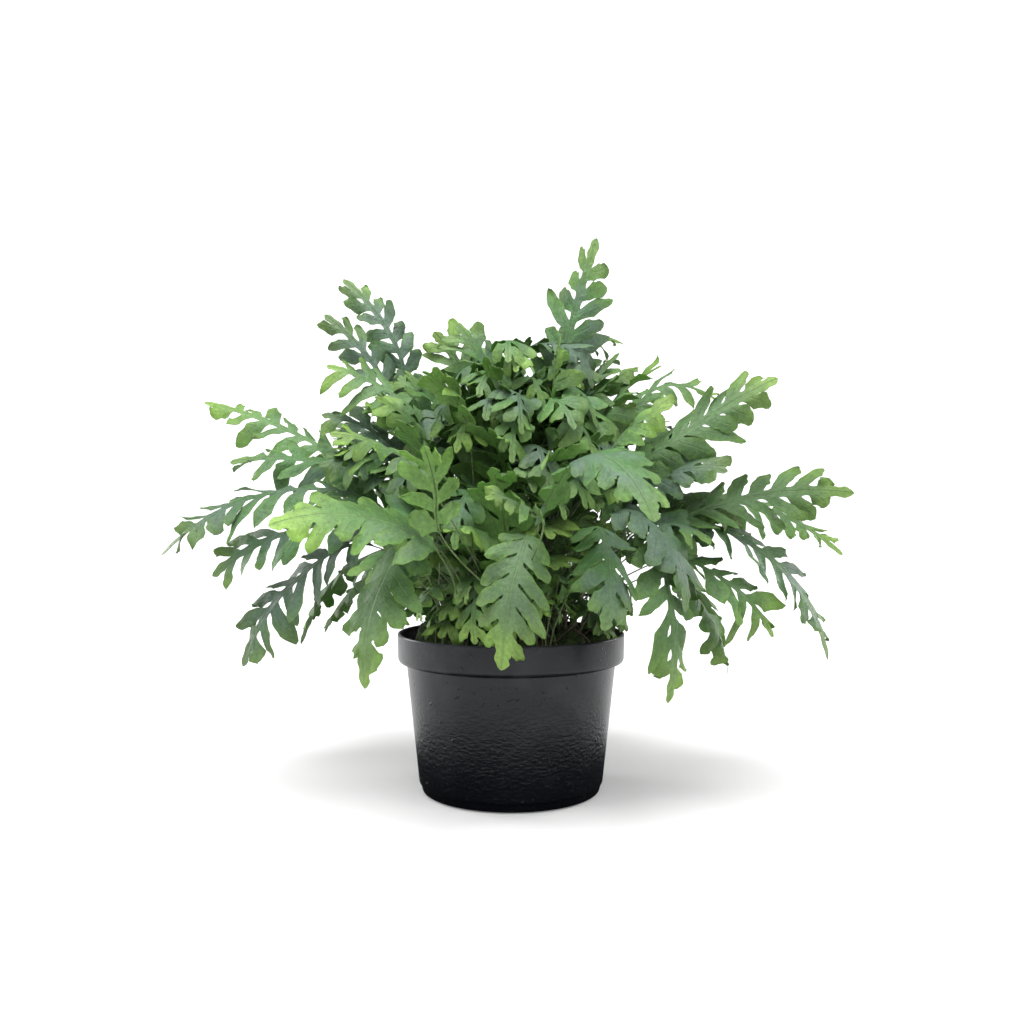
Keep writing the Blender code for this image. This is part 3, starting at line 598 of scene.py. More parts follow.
class Frond:  # a rib line with a frame along it, and a lobed outline laid over that frame
    def __init__(self, spec, root):
        base, tip = spec["base"], spec["tip"]
        reach = tip[:2] + 0.5 * (tip[:2] - base[:2])
        azimuth = math.atan2(reach[1], reach[0])
        straight = frondForm["straightRun"]
        self.points, self.along, self.stem = ribLine(root, base, tip, spec["bow"], azimuth)
        self.length = self.along[-1] - self.stem
        self.width = spec["width"]
        pitch = frondForm["lobePitch"] + frondForm["lobePitchShare"] * self.width
        self.pairs = max(frondForm["leastPairs"], round(frondForm["lobedShare"] * self.length / pitch))
        tangent = unit(np.gradient(self.points, self.along, axis=0))
        tangent[:2] = [0, 0, 1]
        sideways = np.array([-math.sin(azimuth), math.cos(azimuth), 0.0])
        sideways = unit(sideways - tangent * (tangent @ sideways)[:, None])
        normal = np.cross(tangent, sideways)
        share = np.clip((self.along - straight) / (self.stem - straight), 0, 1)
        turn = spec["roll"] * share**2 * (3 - 2 * share)
        turn = turn + spec["twist"] * np.clip((self.along - self.stem) / self.length, 0, 1)
        turn = turn[:, None]
        self.across = sideways * np.cos(turn) + normal * np.sin(turn)
        self.normal = normal * np.cos(turn) - sideways * np.sin(turn)
        self.flaps, self.lengths = spec["flaps"], spec["lengths"]
        self.droop, self.slim = spec["droop"], spec["slim"]

    def place(self, x, y, lift):  # x along the rib from the blade's start, y across it, lift off its face
        s = np.clip(np.asarray(x) + self.stem, 0, self.along[-1])
        rows = [
            np.stack([np.interp(s, self.along, column) for column in grid.T], axis=-1)
            for grid in (self.points, self.across, self.normal)
        ]
        return rows[0] + rows[1] * np.asarray(y)[..., None] + rows[2] * np.asarray(lift)[..., None]

    def station(self, k):  # where sinus k lies: length (0.02 + 0.82 (k / pairs)^0.93)
        return self.length * (frondForm["firstSinus"] + frondForm["lobedShare"] * (k / self.pairs) ** 0.93)

    def wing(self, k):  # half width of the blade at sinus k: width (0.08 + 0.15 (k / pairs)^2)
        return self.width * (frondForm["wing"][0] + frondForm["wing"][1] * (k / self.pairs) ** 2)

    def lobe(self, side, k, angle, column, margin=0):
        # Lobe k at an angle a of its outline and a column u from -1 to 1: on its slanting axis it lies
        # length |cos a|^0.6 out, and u half neck |sin a|^0.8 to the side
        pitch = self.station(k + 1) - self.station(k)
        v = (k + 0.5) / self.pairs
        slant = np.radians(frondForm["slant"][0] - frondForm["slant"][1] * v)
        wing = (self.wing(k) + self.wing(k + 1)) / 2
        start, gain, taper = frondForm["lobeLength"]
        length = self.width * (start + gain * v) * (1 - v) ** taper / np.sin(slant)
        length = length * self.lengths[side][k] - wing
        half = np.minimum(self.slim * 0.5 * pitch * np.sin(slant), frondForm["stubbiest"] * length) + margin
        length = length + margin
        out = length * np.abs(np.cos(angle)) ** 0.6
        share = out / length
        neck = frondForm["neck"] + (1 - frondForm["neck"]) * np.minimum(1, 1.6 * share)
        over = half * neck * column * np.abs(np.sin(angle)) ** 0.8
        x = (self.station(k) + self.station(k + 1)) / 2 + side * 0.2 * pitch - 0.3 * wing
        x = x + out * np.cos(slant) + over * (share * np.sin(slant) + (1 - share) / np.sin(slant))
        y = wing + out * np.sin(slant) - over * share * np.cos(slant)
        lift = self.flaps[side][k] * (y - wing) - self.droop * y * y / self.width
        return x, side * y, lift, out, over

    def plainSheet(self, angles, stemHalf, margin):
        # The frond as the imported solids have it: a strip of stem, then a few triangles a lobe
        flat, thickness, faces = [], [], []

        def add(x, y, lift, thick):
            flat.append((x, y, lift))
            thickness.append(thick)
            return len(flat) - 1

        stemWidth, blade = frondForm["stemWidth"], frondForm["bladeThickness"]
        rows = np.linspace(frondForm["straightRun"], self.stem, frondForm["stemRows"] + 1) - self.stem
        previous = None
        for x in [-self.stem, *rows]:
            pair = [add(x, -stemHalf, 0, stemWidth), add(x, stemHalf, 0, stemWidth)]
            if previous:
                faces += [(previous[0], pair[0], pair[1]), (previous[0], pair[1], previous[1])]
            previous = pair
        centres = [(self.station(k) + self.station(k + 1)) / 2 for k in range(self.pairs)]
        ribs = [add(x, 0, 0, frondForm["ribThickness"]) for x in centres]
        faces.append((previous[0], ribs[0], previous[1]))
        tip = add(self.length, 0, 0, blade)
        last = self.station(self.pairs)
        shoulder = last + frondForm["shoulder"] * (self.length - last)
        for side, stemEdge in zip((-1, 1), previous):
            triangles = []
            last = stemEdge
            for k in range(self.pairs):
                x, y, lift, _, _ = self.lobe(side, k, angles, np.sign(angles), margin)
                ring = [add(*values, blade) for values in zip(x, y, lift)]
                triangles += [(ribs[k], ring[0], last), (ribs[k], ring[-1], ring[0])]
                triangles += [(ring[-1], b, a) for a, b in zip(ring, ring[1:-1])]
                if k + 1 < self.pairs:
                    triangles.append((ribs[k], ribs[k + 1], ring[-1]))
                last = ring[-1]
            bulge = add(shoulder, side * 1.1 * self.wing(self.pairs), 0, blade)
            triangles += [(ribs[-1], bulge, last), (ribs[-1], tip, bulge)]
            faces += triangles if side == 1 else [(a, c, b) for a, b, c in triangles]
        return self.place(*np.array(flat).T), np.array(thickness), faces


def plainSolid(frond, angles, margin):
    # The plain sheet, thickened by its thickness and margin, as triangles
    points, thickness, faces = frond.plainSheet(angles, frondForm["stemWidth"] / 2 + margin, margin)
    triangles = np.array(faces)
    corners = points[triangles]
    faceNormals = np.cross(corners[:, 1] - corners[:, 0], corners[:, 2] - corners[:, 0])
    normals = np.zeros_like(points)
    for corner in range(3):
        np.add.at(normals, triangles[:, corner], faceNormals)
    half = unit(normals) * (thickness[:, None] / 2 + margin)
    count = len(points)
    solidFaces = list(faces) + [(a + count, c + count, b + count) for a, b, c in faces]
    edges = {(a, b) for face in faces for a, b in zip(face, (*face[1:], face[0]))}
    for a, b in sorted(edges):
        if (b, a) not in edges:
            solidFaces += [(b, a, a + count), (b, a + count, b + count)]
    return np.concatenate([points + half, points - half]), solidFaces


def searchTree(points, faces):  # a tree over the faces, with the corners of their box
    points = np.array(points)
    return BVHTree.FromPolygons(points.tolist(), faces), points.min(axis=0), points.max(axis=0)


def clearanceTree(frond):  # the frond a little thicker than it is
    points, faces = plainSolid(frond, coarseAngles, frondForm["clearance"])
    morePoints, moreFaces = plainSolid(frond, closeAngles, frondForm["clearance"])
    faces = faces + [tuple(i + len(points) for i in face) for face in moreFaces]
    return searchTree(np.concatenate([points, morePoints]), faces)


def frondSpec(base, tip, bow, roll, width, colour, draw):
    most = frondForm["mostPairs"]
    return {
        "base": np.array(base) * mm,
        "tip": np.array(tip) * mm,
        "bow": bow * mm,
        "roll": math.radians(roll),
        "twist": math.radians(draw.uniform(-22, 22)),
        "width": width * mm,
        "colour": colour,
        "droop": draw.uniform(0.05, 0.3),
        "slim": draw.uniform(0.74, 0.92),
        "flaps": {side: draw.uniform(-0.22, 0.16, most) for side in (-1, 1)},
        "lengths": {side: draw.uniform(0.9, 1.08, most) for side in (-1, 1)},
    }


def tierSpecs(tiers, draw, widths=(27, 33), colours=fillColours):
    specs = []
    for count, first, sweep, start, end, bow in tiers:
        for i in range(count):
            azimuth = math.radians(first + sweep * (i + 0.5) / count + draw.uniform(-6, 6))
            turn = azimuth + math.radians(draw.uniform(-12, 12))
            stretch = draw.uniform(0.88, 1.06)
            base = (start[0] * math.cos(azimuth), start[0] * math.sin(azimuth), start[1])
            height = end[1] + draw.uniform(-22, 22)
            tip = (end[0] * stretch * math.cos(turn), end[0] * stretch * math.sin(turn), height)
            colour = colours[int(draw.integers(len(colours)))]
            width = draw.uniform(*widths)
            specs.append(frondSpec(base, tip, bow, draw.uniform(-25, 25), width, colour, draw))
    return specs


def turned(point, angle):  # the point, turned about Z
    cos, sin = math.cos(angle), math.sin(angle)
    return np.array([point[0] * cos - point[1] * sin, point[0] * sin + point[1] * cos, point[2]])


def rootFor(spec, draw, wander):  # a spot in the soil on the frond's own side
    azimuth = math.atan2(spec["base"][1], spec["base"][0]) + draw.normal(0, 0.3 + 0.4 * wander)
    low, high = frondForm["steepSpan"]
    steep = np.clip((spec["base"][2] - low) / (high - low), 0, 1)
    radius = frondForm["rootReach"] * np.clip(0.85 - 0.55 * steep + draw.normal(0, 0.16), 0.12, 1)
    height = frondForm["rootHeight"] + frondForm["gap"]
    return np.array([radius * math.cos(azimuth), radius * math.sin(azimuth), height])


def plainPot():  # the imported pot's faces, for the clearance only
    profile = np.array(potProfile) * mm
    sides = 36
    angles = np.linspace(0, 2 * np.pi, sides, endpoint=False)
    rings = [np.stack([r * np.cos(angles), r * np.sin(angles), np.full(sides, z)], axis=1) for r, z in profile]
    return np.concatenate(rings), [tuple(face) for face in gridFaces(len(profile), sides, wrap=True).tolist()]


def plainRhizome(proud):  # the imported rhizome's faces: a lumpy tube over the soil
    line = np.array(rhizomeLine) * mm
    rows, sides = rhizomeForm["rows"], rhizomeForm["sides"]
    steps = np.linspace(0, len(line) - 1, rows)
    x, y, radius = [np.interp(steps, range(len(line)), column) for column in line.T]
    draw = np.random.default_rng(frondForm["seeds"][2])
    radius = radius * (1 + draw.uniform(-rhizomeForm["lumps"], rhizomeForm["lumps"], rows)) + proud
    heading = unit(np.stack([np.gradient(x), np.gradient(y)], axis=1))
    angles = np.linspace(0, 2 * np.pi, sides, endpoint=False)
    aside = radius[:, None] * np.cos(angles)
    up = radius[:, None] * np.maximum(np.sin(angles), -rhizomeForm["sunk"])
    middle = frondForm["soilTop"] + frondForm["gap"] + rhizomeForm["sunk"] * (radius - proud)
    ring = [x[:, None] - heading[:, 1:] * aside, y[:, None] + heading[:, :1] * aside, middle[:, None] + up]
    points = np.stack(ring, axis=-1).reshape(-1, 3)
    faces = [tuple(face) for face in gridFaces(rows, sides, wrap=True).tolist()]
    first = list(range(sides))
    return points, faces + [tuple(reversed(first)), tuple(len(points) - sides + i for i in first)]


class Bed:  # the plant so far: fronds, their roots and what a new frond must not cross
    def __init__(self):
        self.grown, self.roots = [], []
        self.trees = [searchTree(*plainRhizome(0.6 * mm)), searchTree(*plainPot())]
        spots = np.array(rhizomeLine)
        steps = np.linspace(0, len(spots) - 1, 60)
        self.spots = [np.interp(steps, range(len(spots)), column) for column in spots.T]

    def nudged(self, spec, draw, loose, wander, spacing=frondForm["stemSpacing"]):
        # A copy of the frond that swings, rises and rolls a little, with a root; no root where one can't stand
        swing = draw.normal(0, loose)
        rise = draw.normal(0, 0.05 * loose)
        moved = dict(spec)
        moved["base"] = turned(spec["base"], swing) + [0, 0, rise]
        moved["tip"] = turned(spec["tip"], swing + draw.normal(0, loose / 2)) + [0, 0, rise]
        moved["roll"] = spec["roll"] + draw.normal(0, loose)
        root = rootFor(spec, draw, wander)
        if any(np.hypot(*(root - other)[:2]) < spacing for other in self.roots):
            return moved, None
        clear = np.hypot(self.spots[0] * mm - root[0], self.spots[1] * mm - root[1]) - self.spots[2] * mm
        return moved, None if clear.min() < frondForm["stemWidth"] + frondForm["gap"] else root

    def keep(self, frond, colour, root, tree):
        self.grown.append((frond, colour, root))
        self.trees.append(tree)
        self.roots.append(root)

    def grow(self, specs, draw, attempts):
        # Each frond moves a little more at each attempt until it is clear of all the others
        for spec in specs:
            for attempt in range(attempts):
                loose = 0.01 + 0.4 * (attempt / attempts) ** 1.5
                moved, root = self.nudged(spec, draw, loose, attempt / attempts)
                if root is None:
                    continue
                frond = Frond(moved, root)
                tree, low, high = clearanceTree(frond)
                near = [t for t, a, b in self.trees if (a < high).all() and (low < b).all()]
                if not any(tree.overlap(other) for other in near):
                    self.keep(frond, moved["colour"], root, (tree, low, high))
                    break

    def squeeze(self, specs, draw, attempts, most):
        # The same for small fronds in a full plant, where leaves touch: the best of a few attempts stays
        for spec in specs:
            best = None
            for attempt in range(attempts):
                moved, root = self.nudged(spec, draw, 0.02 + 0.3 * attempt / attempts, attempt / attempts, 3.2 * mm)
                if root is None:
                    continue
                frond = Frond(moved, root)
                if searchTree(*plainSolid(frond, closeAngles, 4 * mm))[0].overlap(self.trees[1][0]):
                    continue  # too close to the pot
                tree, low, high = searchTree(*plainSolid(frond, closeAngles, 0))
                near = [t for t, a, b in self.trees if (a < high).all() and (low < b).all()]
                count = sum(len(tree.overlap(other)) for other in near)
                if best is None or count < best[0]:
                    best = count, (frond, moved["colour"], root, (tree, low, high))
                if count == 0:
                    break
            if best and best[0] <= most:
                self.keep(*best[1])


specDraw = np.random.default_rng(frondForm["seeds"][0])
specs = [frondSpec(*row, specDraw) for row in chosenFronds]
specs += tierSpecs(fillTiers, specDraw)
bed = Bed()
bed.grow(specs, np.random.default_rng(frondForm["seeds"][1]), frondForm["attempts"])
packedCount = len(bed.grown)
print("fronds placed:", packedCount)


# The fronds' fine surface

bladeForm = {
    "pitch": (10.5 * mm, 0.27),
    "sinusSpan": (0.02, 0.88),
    "notchPoints": 3,
    "notchDepth": 0.16,
    "footPoints": 4,
    "tipPoints": 10,
    "half": 0.2 * mm,
    "stemHalf": 0.9 * mm,
    "wing": (0.05, 0.06, 0.1),
    "broadWing": (0.03, 0.09, 0),
    "broadSpan": (26 * mm, 33 * mm),
    "lobeEnd": (0.45, 0.2),
    "lobeBase": (0.6, 0.34),
    "lobeTaper": 0.5,
    "lobeWiden": (1.15, 0.04),
    "lobeRows": (0.985, 1.35),
    "lobeRandom": {  # the spans that each lobe's own values are drawn from
        "phase": (0, 2 * np.pi),
        "curl": (-0.3, 0.6),
        "arch": (-0.05, 0.4),
        "twist": (-0.9, 0.9),
        "blunt": (2.6, 4.4),
        "size": (0.7, 0.98),
    },
    "slantRandom": 0.11,
    "alternate": 0.2,
    "forward": 0.12,
    "wave": 1.9 * mm,
    "crenation": (0.14, 14),
    "quilt": 0.65 * mm,
    "flap": 0.16,
    "tipHalf": 0.17,
    "tipScallop": 0.16,
}
fineDetail = {"columns": 6, "rows": 8, "ribRows": 2}
innerDetail = {"columns": 4, "rows": 6, "ribRows": 1}
stalkForm = {"sides": 7, "pitch": 6 * mm, "radius": (0.85, 0.52, 0.26), "sunk": 0.85}


def broadness(frond):  # 0 on the slim fronds with stalked lobes, 1 on the broad ones
    return smooth(*bladeForm["broadSpan"], frond.width)


def wingAt(frond, x):  # half width of the blade's middle: width (a + b t + c t^2), less at the tip, t = x / length
    broad = broadness(frond)
    a, b, c = [value + broad * more for value, more in zip(bladeForm["wing"], bladeForm["broadWing"])]
    t = x / frond.length
    return frond.width * (a + b * t + c * t**2) * (1 - 0.6 * smooth(0.7, 1.0, t))


def sinuses(frond):  # where the sinuses lie: length (low + span share), evenly, closer on a narrow frond
    low, span = bladeForm["sinusSpan"]
    pitch = bladeForm["pitch"][0] + bladeForm["pitch"][1] * frond.width
    return frond.length * (low + span * np.linspace(0, 1, max(4, round(span * frond.length / pitch)) + 1))


def lobeGrid(frond, side, draw, detail):
    # Lobe k, share s of its length and place u across it from -1 to 1, on an axis that slants and bends forward:
    # out = length s, and to the side half u neck(s) (1 - s^p)^0.5 with a small ripple along the margin. It lifts
    # off the blade by flap y - droop y^2 / width, curls by -curl length s^2, and twists, arches and waves a little
    stations = sinuses(frond)
    start, end = stations[:-1, None, None], stations[1:, None, None]
    pairs = len(stations) - 1
    v = (np.arange(pairs)[:, None, None] + 0.5) / pairs
    own = np.minimum((v * frond.pairs).astype(int), frond.pairs - 1)
    last, spacing = bladeForm["lobeRows"]
    s = 1 - (1 - np.linspace(0, last, detail["rows"] + 1)[None, :, None]) ** spacing
    u = np.linspace(-1, 1, detail["columns"] + 1)[None, None]
    broad = broadness(frond)
    spans = bladeForm["lobeRandom"].values()
    phase, curl, arch, twist, blunt, size = [draw.uniform(low, high, (pairs, 1, 1)) for low, high in spans]
    pitch = end - start
    slant = np.radians(frondForm["slant"][0] - frondForm["slant"][1] * v)
    slant = slant + draw.normal(0, bladeForm["slantRandom"], (pairs, 1, 1))
    first, gain, _ = frondForm["lobeLength"]
    taper = bladeForm["lobeEnd"][0] + bladeForm["lobeEnd"][1] * broad
    wing = wingAt(frond, (start + end) / 2)
    length = frond.width * (first + gain * v) * (1 - v) ** taper / np.sin(slant)
    length = np.maximum(size * length * frond.lengths[side][own] - wing, 1.2 * mm)
    half = (bladeForm["lobeWiden"][0] + bladeForm["lobeWiden"][1] * broad) * frond.slim * 0.5 * pitch * np.sin(slant)
    half = np.minimum(half, frondForm["stubbiest"] * (length + 0.3 * wing))
    depth, waves = bladeForm["crenation"]
    ripple = 1 + depth * np.sin(waves * s + phase + 2 * np.sign(u)) * smooth(0.1, 0.5, s)
    neck = bladeForm["lobeBase"][0] + bladeForm["lobeBase"][1] * broad
    neck = neck + (1 - neck) * smooth(0, 0.55, s)
    over = half * neck * (1 - s**blunt) ** bladeForm["lobeTaper"] * ripple * u
    out = length * s
    x = (start + end) / 2 + side * bladeForm["alternate"] * pitch - 0.3 * wing
    x = x + out * np.cos(slant) + bladeForm["forward"] * length * s**2
    x = x + over * (s * np.sin(slant) + (1 - s) / np.sin(slant))
    y = wing + out * np.sin(slant) - over * s * np.cos(slant)
    wave = bladeForm["wave"] * u**2 * s * np.sin(7.5 * s + phase + 1.5 * np.sign(u))
    quilt = bladeForm["quilt"] * np.sin(x / (3.1 * mm) + phase) * np.sin(y / (2.7 * mm) - phase) * smooth(0, 0.3, s)
    flap = frond.flaps[side][own] + draw.normal(0, bladeForm["flap"], (pairs, 1, 1)) * (1 - 0.6 * broad)
    lift = flap * (y - wing) - frond.droop * y * y / frond.width + wave + quilt
    lift = lift + (1 - 0.5 * broad) * (twist * over - curl * out * s) * smooth(0, 0.5, s) - arch * np.abs(over) * s
    return np.broadcast_arrays(x, side * y, lift, s, u)


def bladeEdge(frond, lobes, draw):
    # The edge of the strip along the rib: a foot that widens by 3t^2 - 2t^3, the feet of the lobes with a
    # rounded sinus between them, and a blunt, waved end that swells by 3t^2 - 2t^3 and closes as (1 - t^4)^0.5
    x, y = lobes[0][:, 0], np.abs(lobes[1][:, 0])
    foot = np.linspace(0, 1, bladeForm["footPoints"] + 1)[:-1]
    notch = np.linspace(0, 1, bladeForm["notchPoints"] + 1)[1:-1]
    stemHalf = bladeForm["stemHalf"]
    edgeX = [foot * x[0, 0]]
    edgeY = [stemHalf + (y[0, 0] - stemHalf) * smooth(0, 1, foot)]
    for lobe in range(len(x)):
        edgeX.append(x[lobe])
        edgeY.append(y[lobe])
        if lobe + 1 < len(x):
            edgeX.append(x[lobe, -1] + (x[lobe + 1, 0] - x[lobe, -1]) * notch)
            low, high = y[lobe, -1], y[lobe + 1, 0]
            edgeY.append(low + (high - low) * notch - bladeForm["notchDepth"] * low * np.sin(np.pi * notch))
    t = np.linspace(0, 1, bladeForm["tipPoints"] + 1)[1:]
    start, low = x[-1, -1], y[-1, -1]
    reach = frond.length - start
    wave = 1 + bladeForm["tipScallop"] * np.sin(2 * np.pi * (1.8 * t + draw.uniform(0, 1))) * smooth(0, 0.2, t)
    half = low + (bladeForm["tipHalf"] * frond.width - low) * smooth(0, 0.55, t)
    edgeX.append(start + reach * t)
    edgeY.append(np.maximum(half * (1 - t**4) ** 0.5 * wave, 0.3 * mm))
    return np.concatenate(edgeX), np.concatenate(edgeY)


def fineBlade(frond, tone, draw, detail):
    # A strip along the rib, whose two edges each carry the grids of their lobes, laid over the frond's frame
    pairs, columns, rows = len(sinuses(frond)) - 1, detail["columns"], detail["rows"]
    lobes = {side: lobeGrid(frond, side, draw, detail) for side in (-1, 1)}
    edges = {side: bladeEdge(frond, lobes[side], draw) for side in (-1, 1)}
    stripRows = 2 * detail["ribRows"] + 1
    across = np.linspace(-1, 1, stripRows)[None]
    edgeX, edgeY = [np.where(across < 0, edges[-1][i][:, None], edges[1][i][:, None]) for i in (0, 1)]
    middle = (edges[-1][0] + edges[1][0])[:, None] / 2
    stripX = middle * (1 - np.abs(across)) + edgeX * np.abs(across)
    stripY = across * edgeY
    stripLift = -frond.droop * stripY**2 / frond.width
    flat = [np.stack([stripX, stripY, stripLift], axis=-1).reshape(-1, 3)]
    lobeMaps = [np.tile([0.5, 0.0], (stripX.size, 1))]
    tones = [np.full(stripX.size, tone)]
    quads = [gridFaces(len(middle), stripRows)[:, ::-1]]
    first = bladeForm["footPoints"] + np.arange(pairs) * (columns + bladeForm["notchPoints"])
    offset = stripX.size
    for side in (-1, 1):
        x, y, lift, s, u = lobes[side]
        flat.append(np.stack([x, y, lift], axis=-1)[:, 1:].reshape(-1, 3))
        lobeMaps.append(np.stack([0.5 + 0.5 * u, s], axis=-1)[:, 1:].reshape(-1, 2))
        tones.append((tone + draw.uniform(-0.4, 0.4, (pairs, 1, 1)) * smooth(0, 0.5, s))[:, 1:].ravel())
        edgeRow = 0 if side < 0 else stripRows - 1
        baseIndex = (first[:, None] + np.arange(columns + 1)) * stripRows + edgeRow
        upper = offset + np.arange(pairs * rows * (columns + 1)).reshape(pairs, rows, columns + 1)
        index = np.concatenate([baseIndex[:, None], upper], axis=1)
        faces = np.stack([index[:, :-1, :-1], index[:, :-1, 1:], index[:, 1:, 1:], index[:, 1:, :-1]], axis=-1)
        faces = faces.reshape(-1, 4)
        quads.append(faces if side > 0 else faces[:, ::-1])
        offset += upper.size
    flat = np.concatenate(flat)
    maps = {
        "alongMap": np.stack([np.clip(flat[:, 0] / frond.length, 0, 1), np.abs(flat[:, 1]) / frond.width], axis=1),
        "lobeMap": np.concatenate(lobeMaps),
        "toneMap": np.stack([np.clip(np.concatenate(tones), 0, 1), np.zeros(len(flat))], axis=1),
    }
    return thickened(frond.place(*flat.T), np.concatenate(quads), bladeForm["half"], maps)


def fineStalk(frond, tone):
    # A round stalk from the soil into the rib, its radius falling to the tip; it sinks under the blade's face
    end = 0.93 * frond.length
    rows, sides = int((frond.stem + end) / stalkForm["pitch"]), stalkForm["sides"]
    x = np.linspace(-frond.stem, end, rows)[:, None]
    foot, neck, last = np.array(stalkForm["radius"]) * mm
    radius = np.where(x < 0, foot + (neck - foot) * (1 + x / frond.stem), neck + (last - neck) * x / end)
    angle = np.linspace(0, 2 * np.pi, sides, endpoint=False)[None]
    y, lift = radius * np.cos(angle), radius * (np.sin(angle) - stalkForm["sunk"] * smooth(-10 * mm, 10 * mm, x))
    points = frond.place(np.broadcast_to(x, y.shape).ravel(), y.ravel(), lift.ravel())
    first = np.arange(sides)[None]
    faces = [gridFaces(rows, sides, wrap=True), first[:, ::-1], first + sides * (rows - 1)]
    share = np.clip(np.broadcast_to(x, y.shape).ravel() / frond.length, 0, 1)
    flat = np.stack([share, np.zeros_like(share)], axis=1)
    return points, faces, {"alongMap": flat, "lobeMap": flat, "toneMap": np.tile([tone, 0.0], (len(share), 1))}


def makeFrond(name, frond, colour, draw, detail, replaced=None):
    tone = draw.uniform(0, 1)
    blade = fineBlade(frond, tone, draw, detail)
    stalk = fineStalk(frond, tone)
    kinds = [0] * sum(len(faces) for faces in blade[1]) + [1] * sum(len(faces) for faces in stalk[1])
    shape = joined([blade, stalk])
    return makePiece(name, shape, [leafMaterials[colour], stalkMaterial], replaced, kinds)


finishDraw = np.random.default_rng(21)
worst = 0
for number, (frond, colour, _) in enumerate(bed.grown, start=1):
    node = f"frond_{number:02d}"
    low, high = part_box(node)
    piece = makeFrond(f"fine_{node}", frond, colour, finishDraw, fineDetail, node)
    corners = np.empty(3 * len(piece.data.vertices), np.float32)
    piece.data.vertices.foreach_get("co", corners)
    lowest, highest = corners.reshape(-1, 3).min(axis=0), corners.reshape(-1, 3).max(axis=0)
    worst = max(worst, np.abs(lowest - low).max(), np.abs(highest - high).max())
print("fine fronds made; furthest from the packed box, in mm:", round(worst / mm, 1))
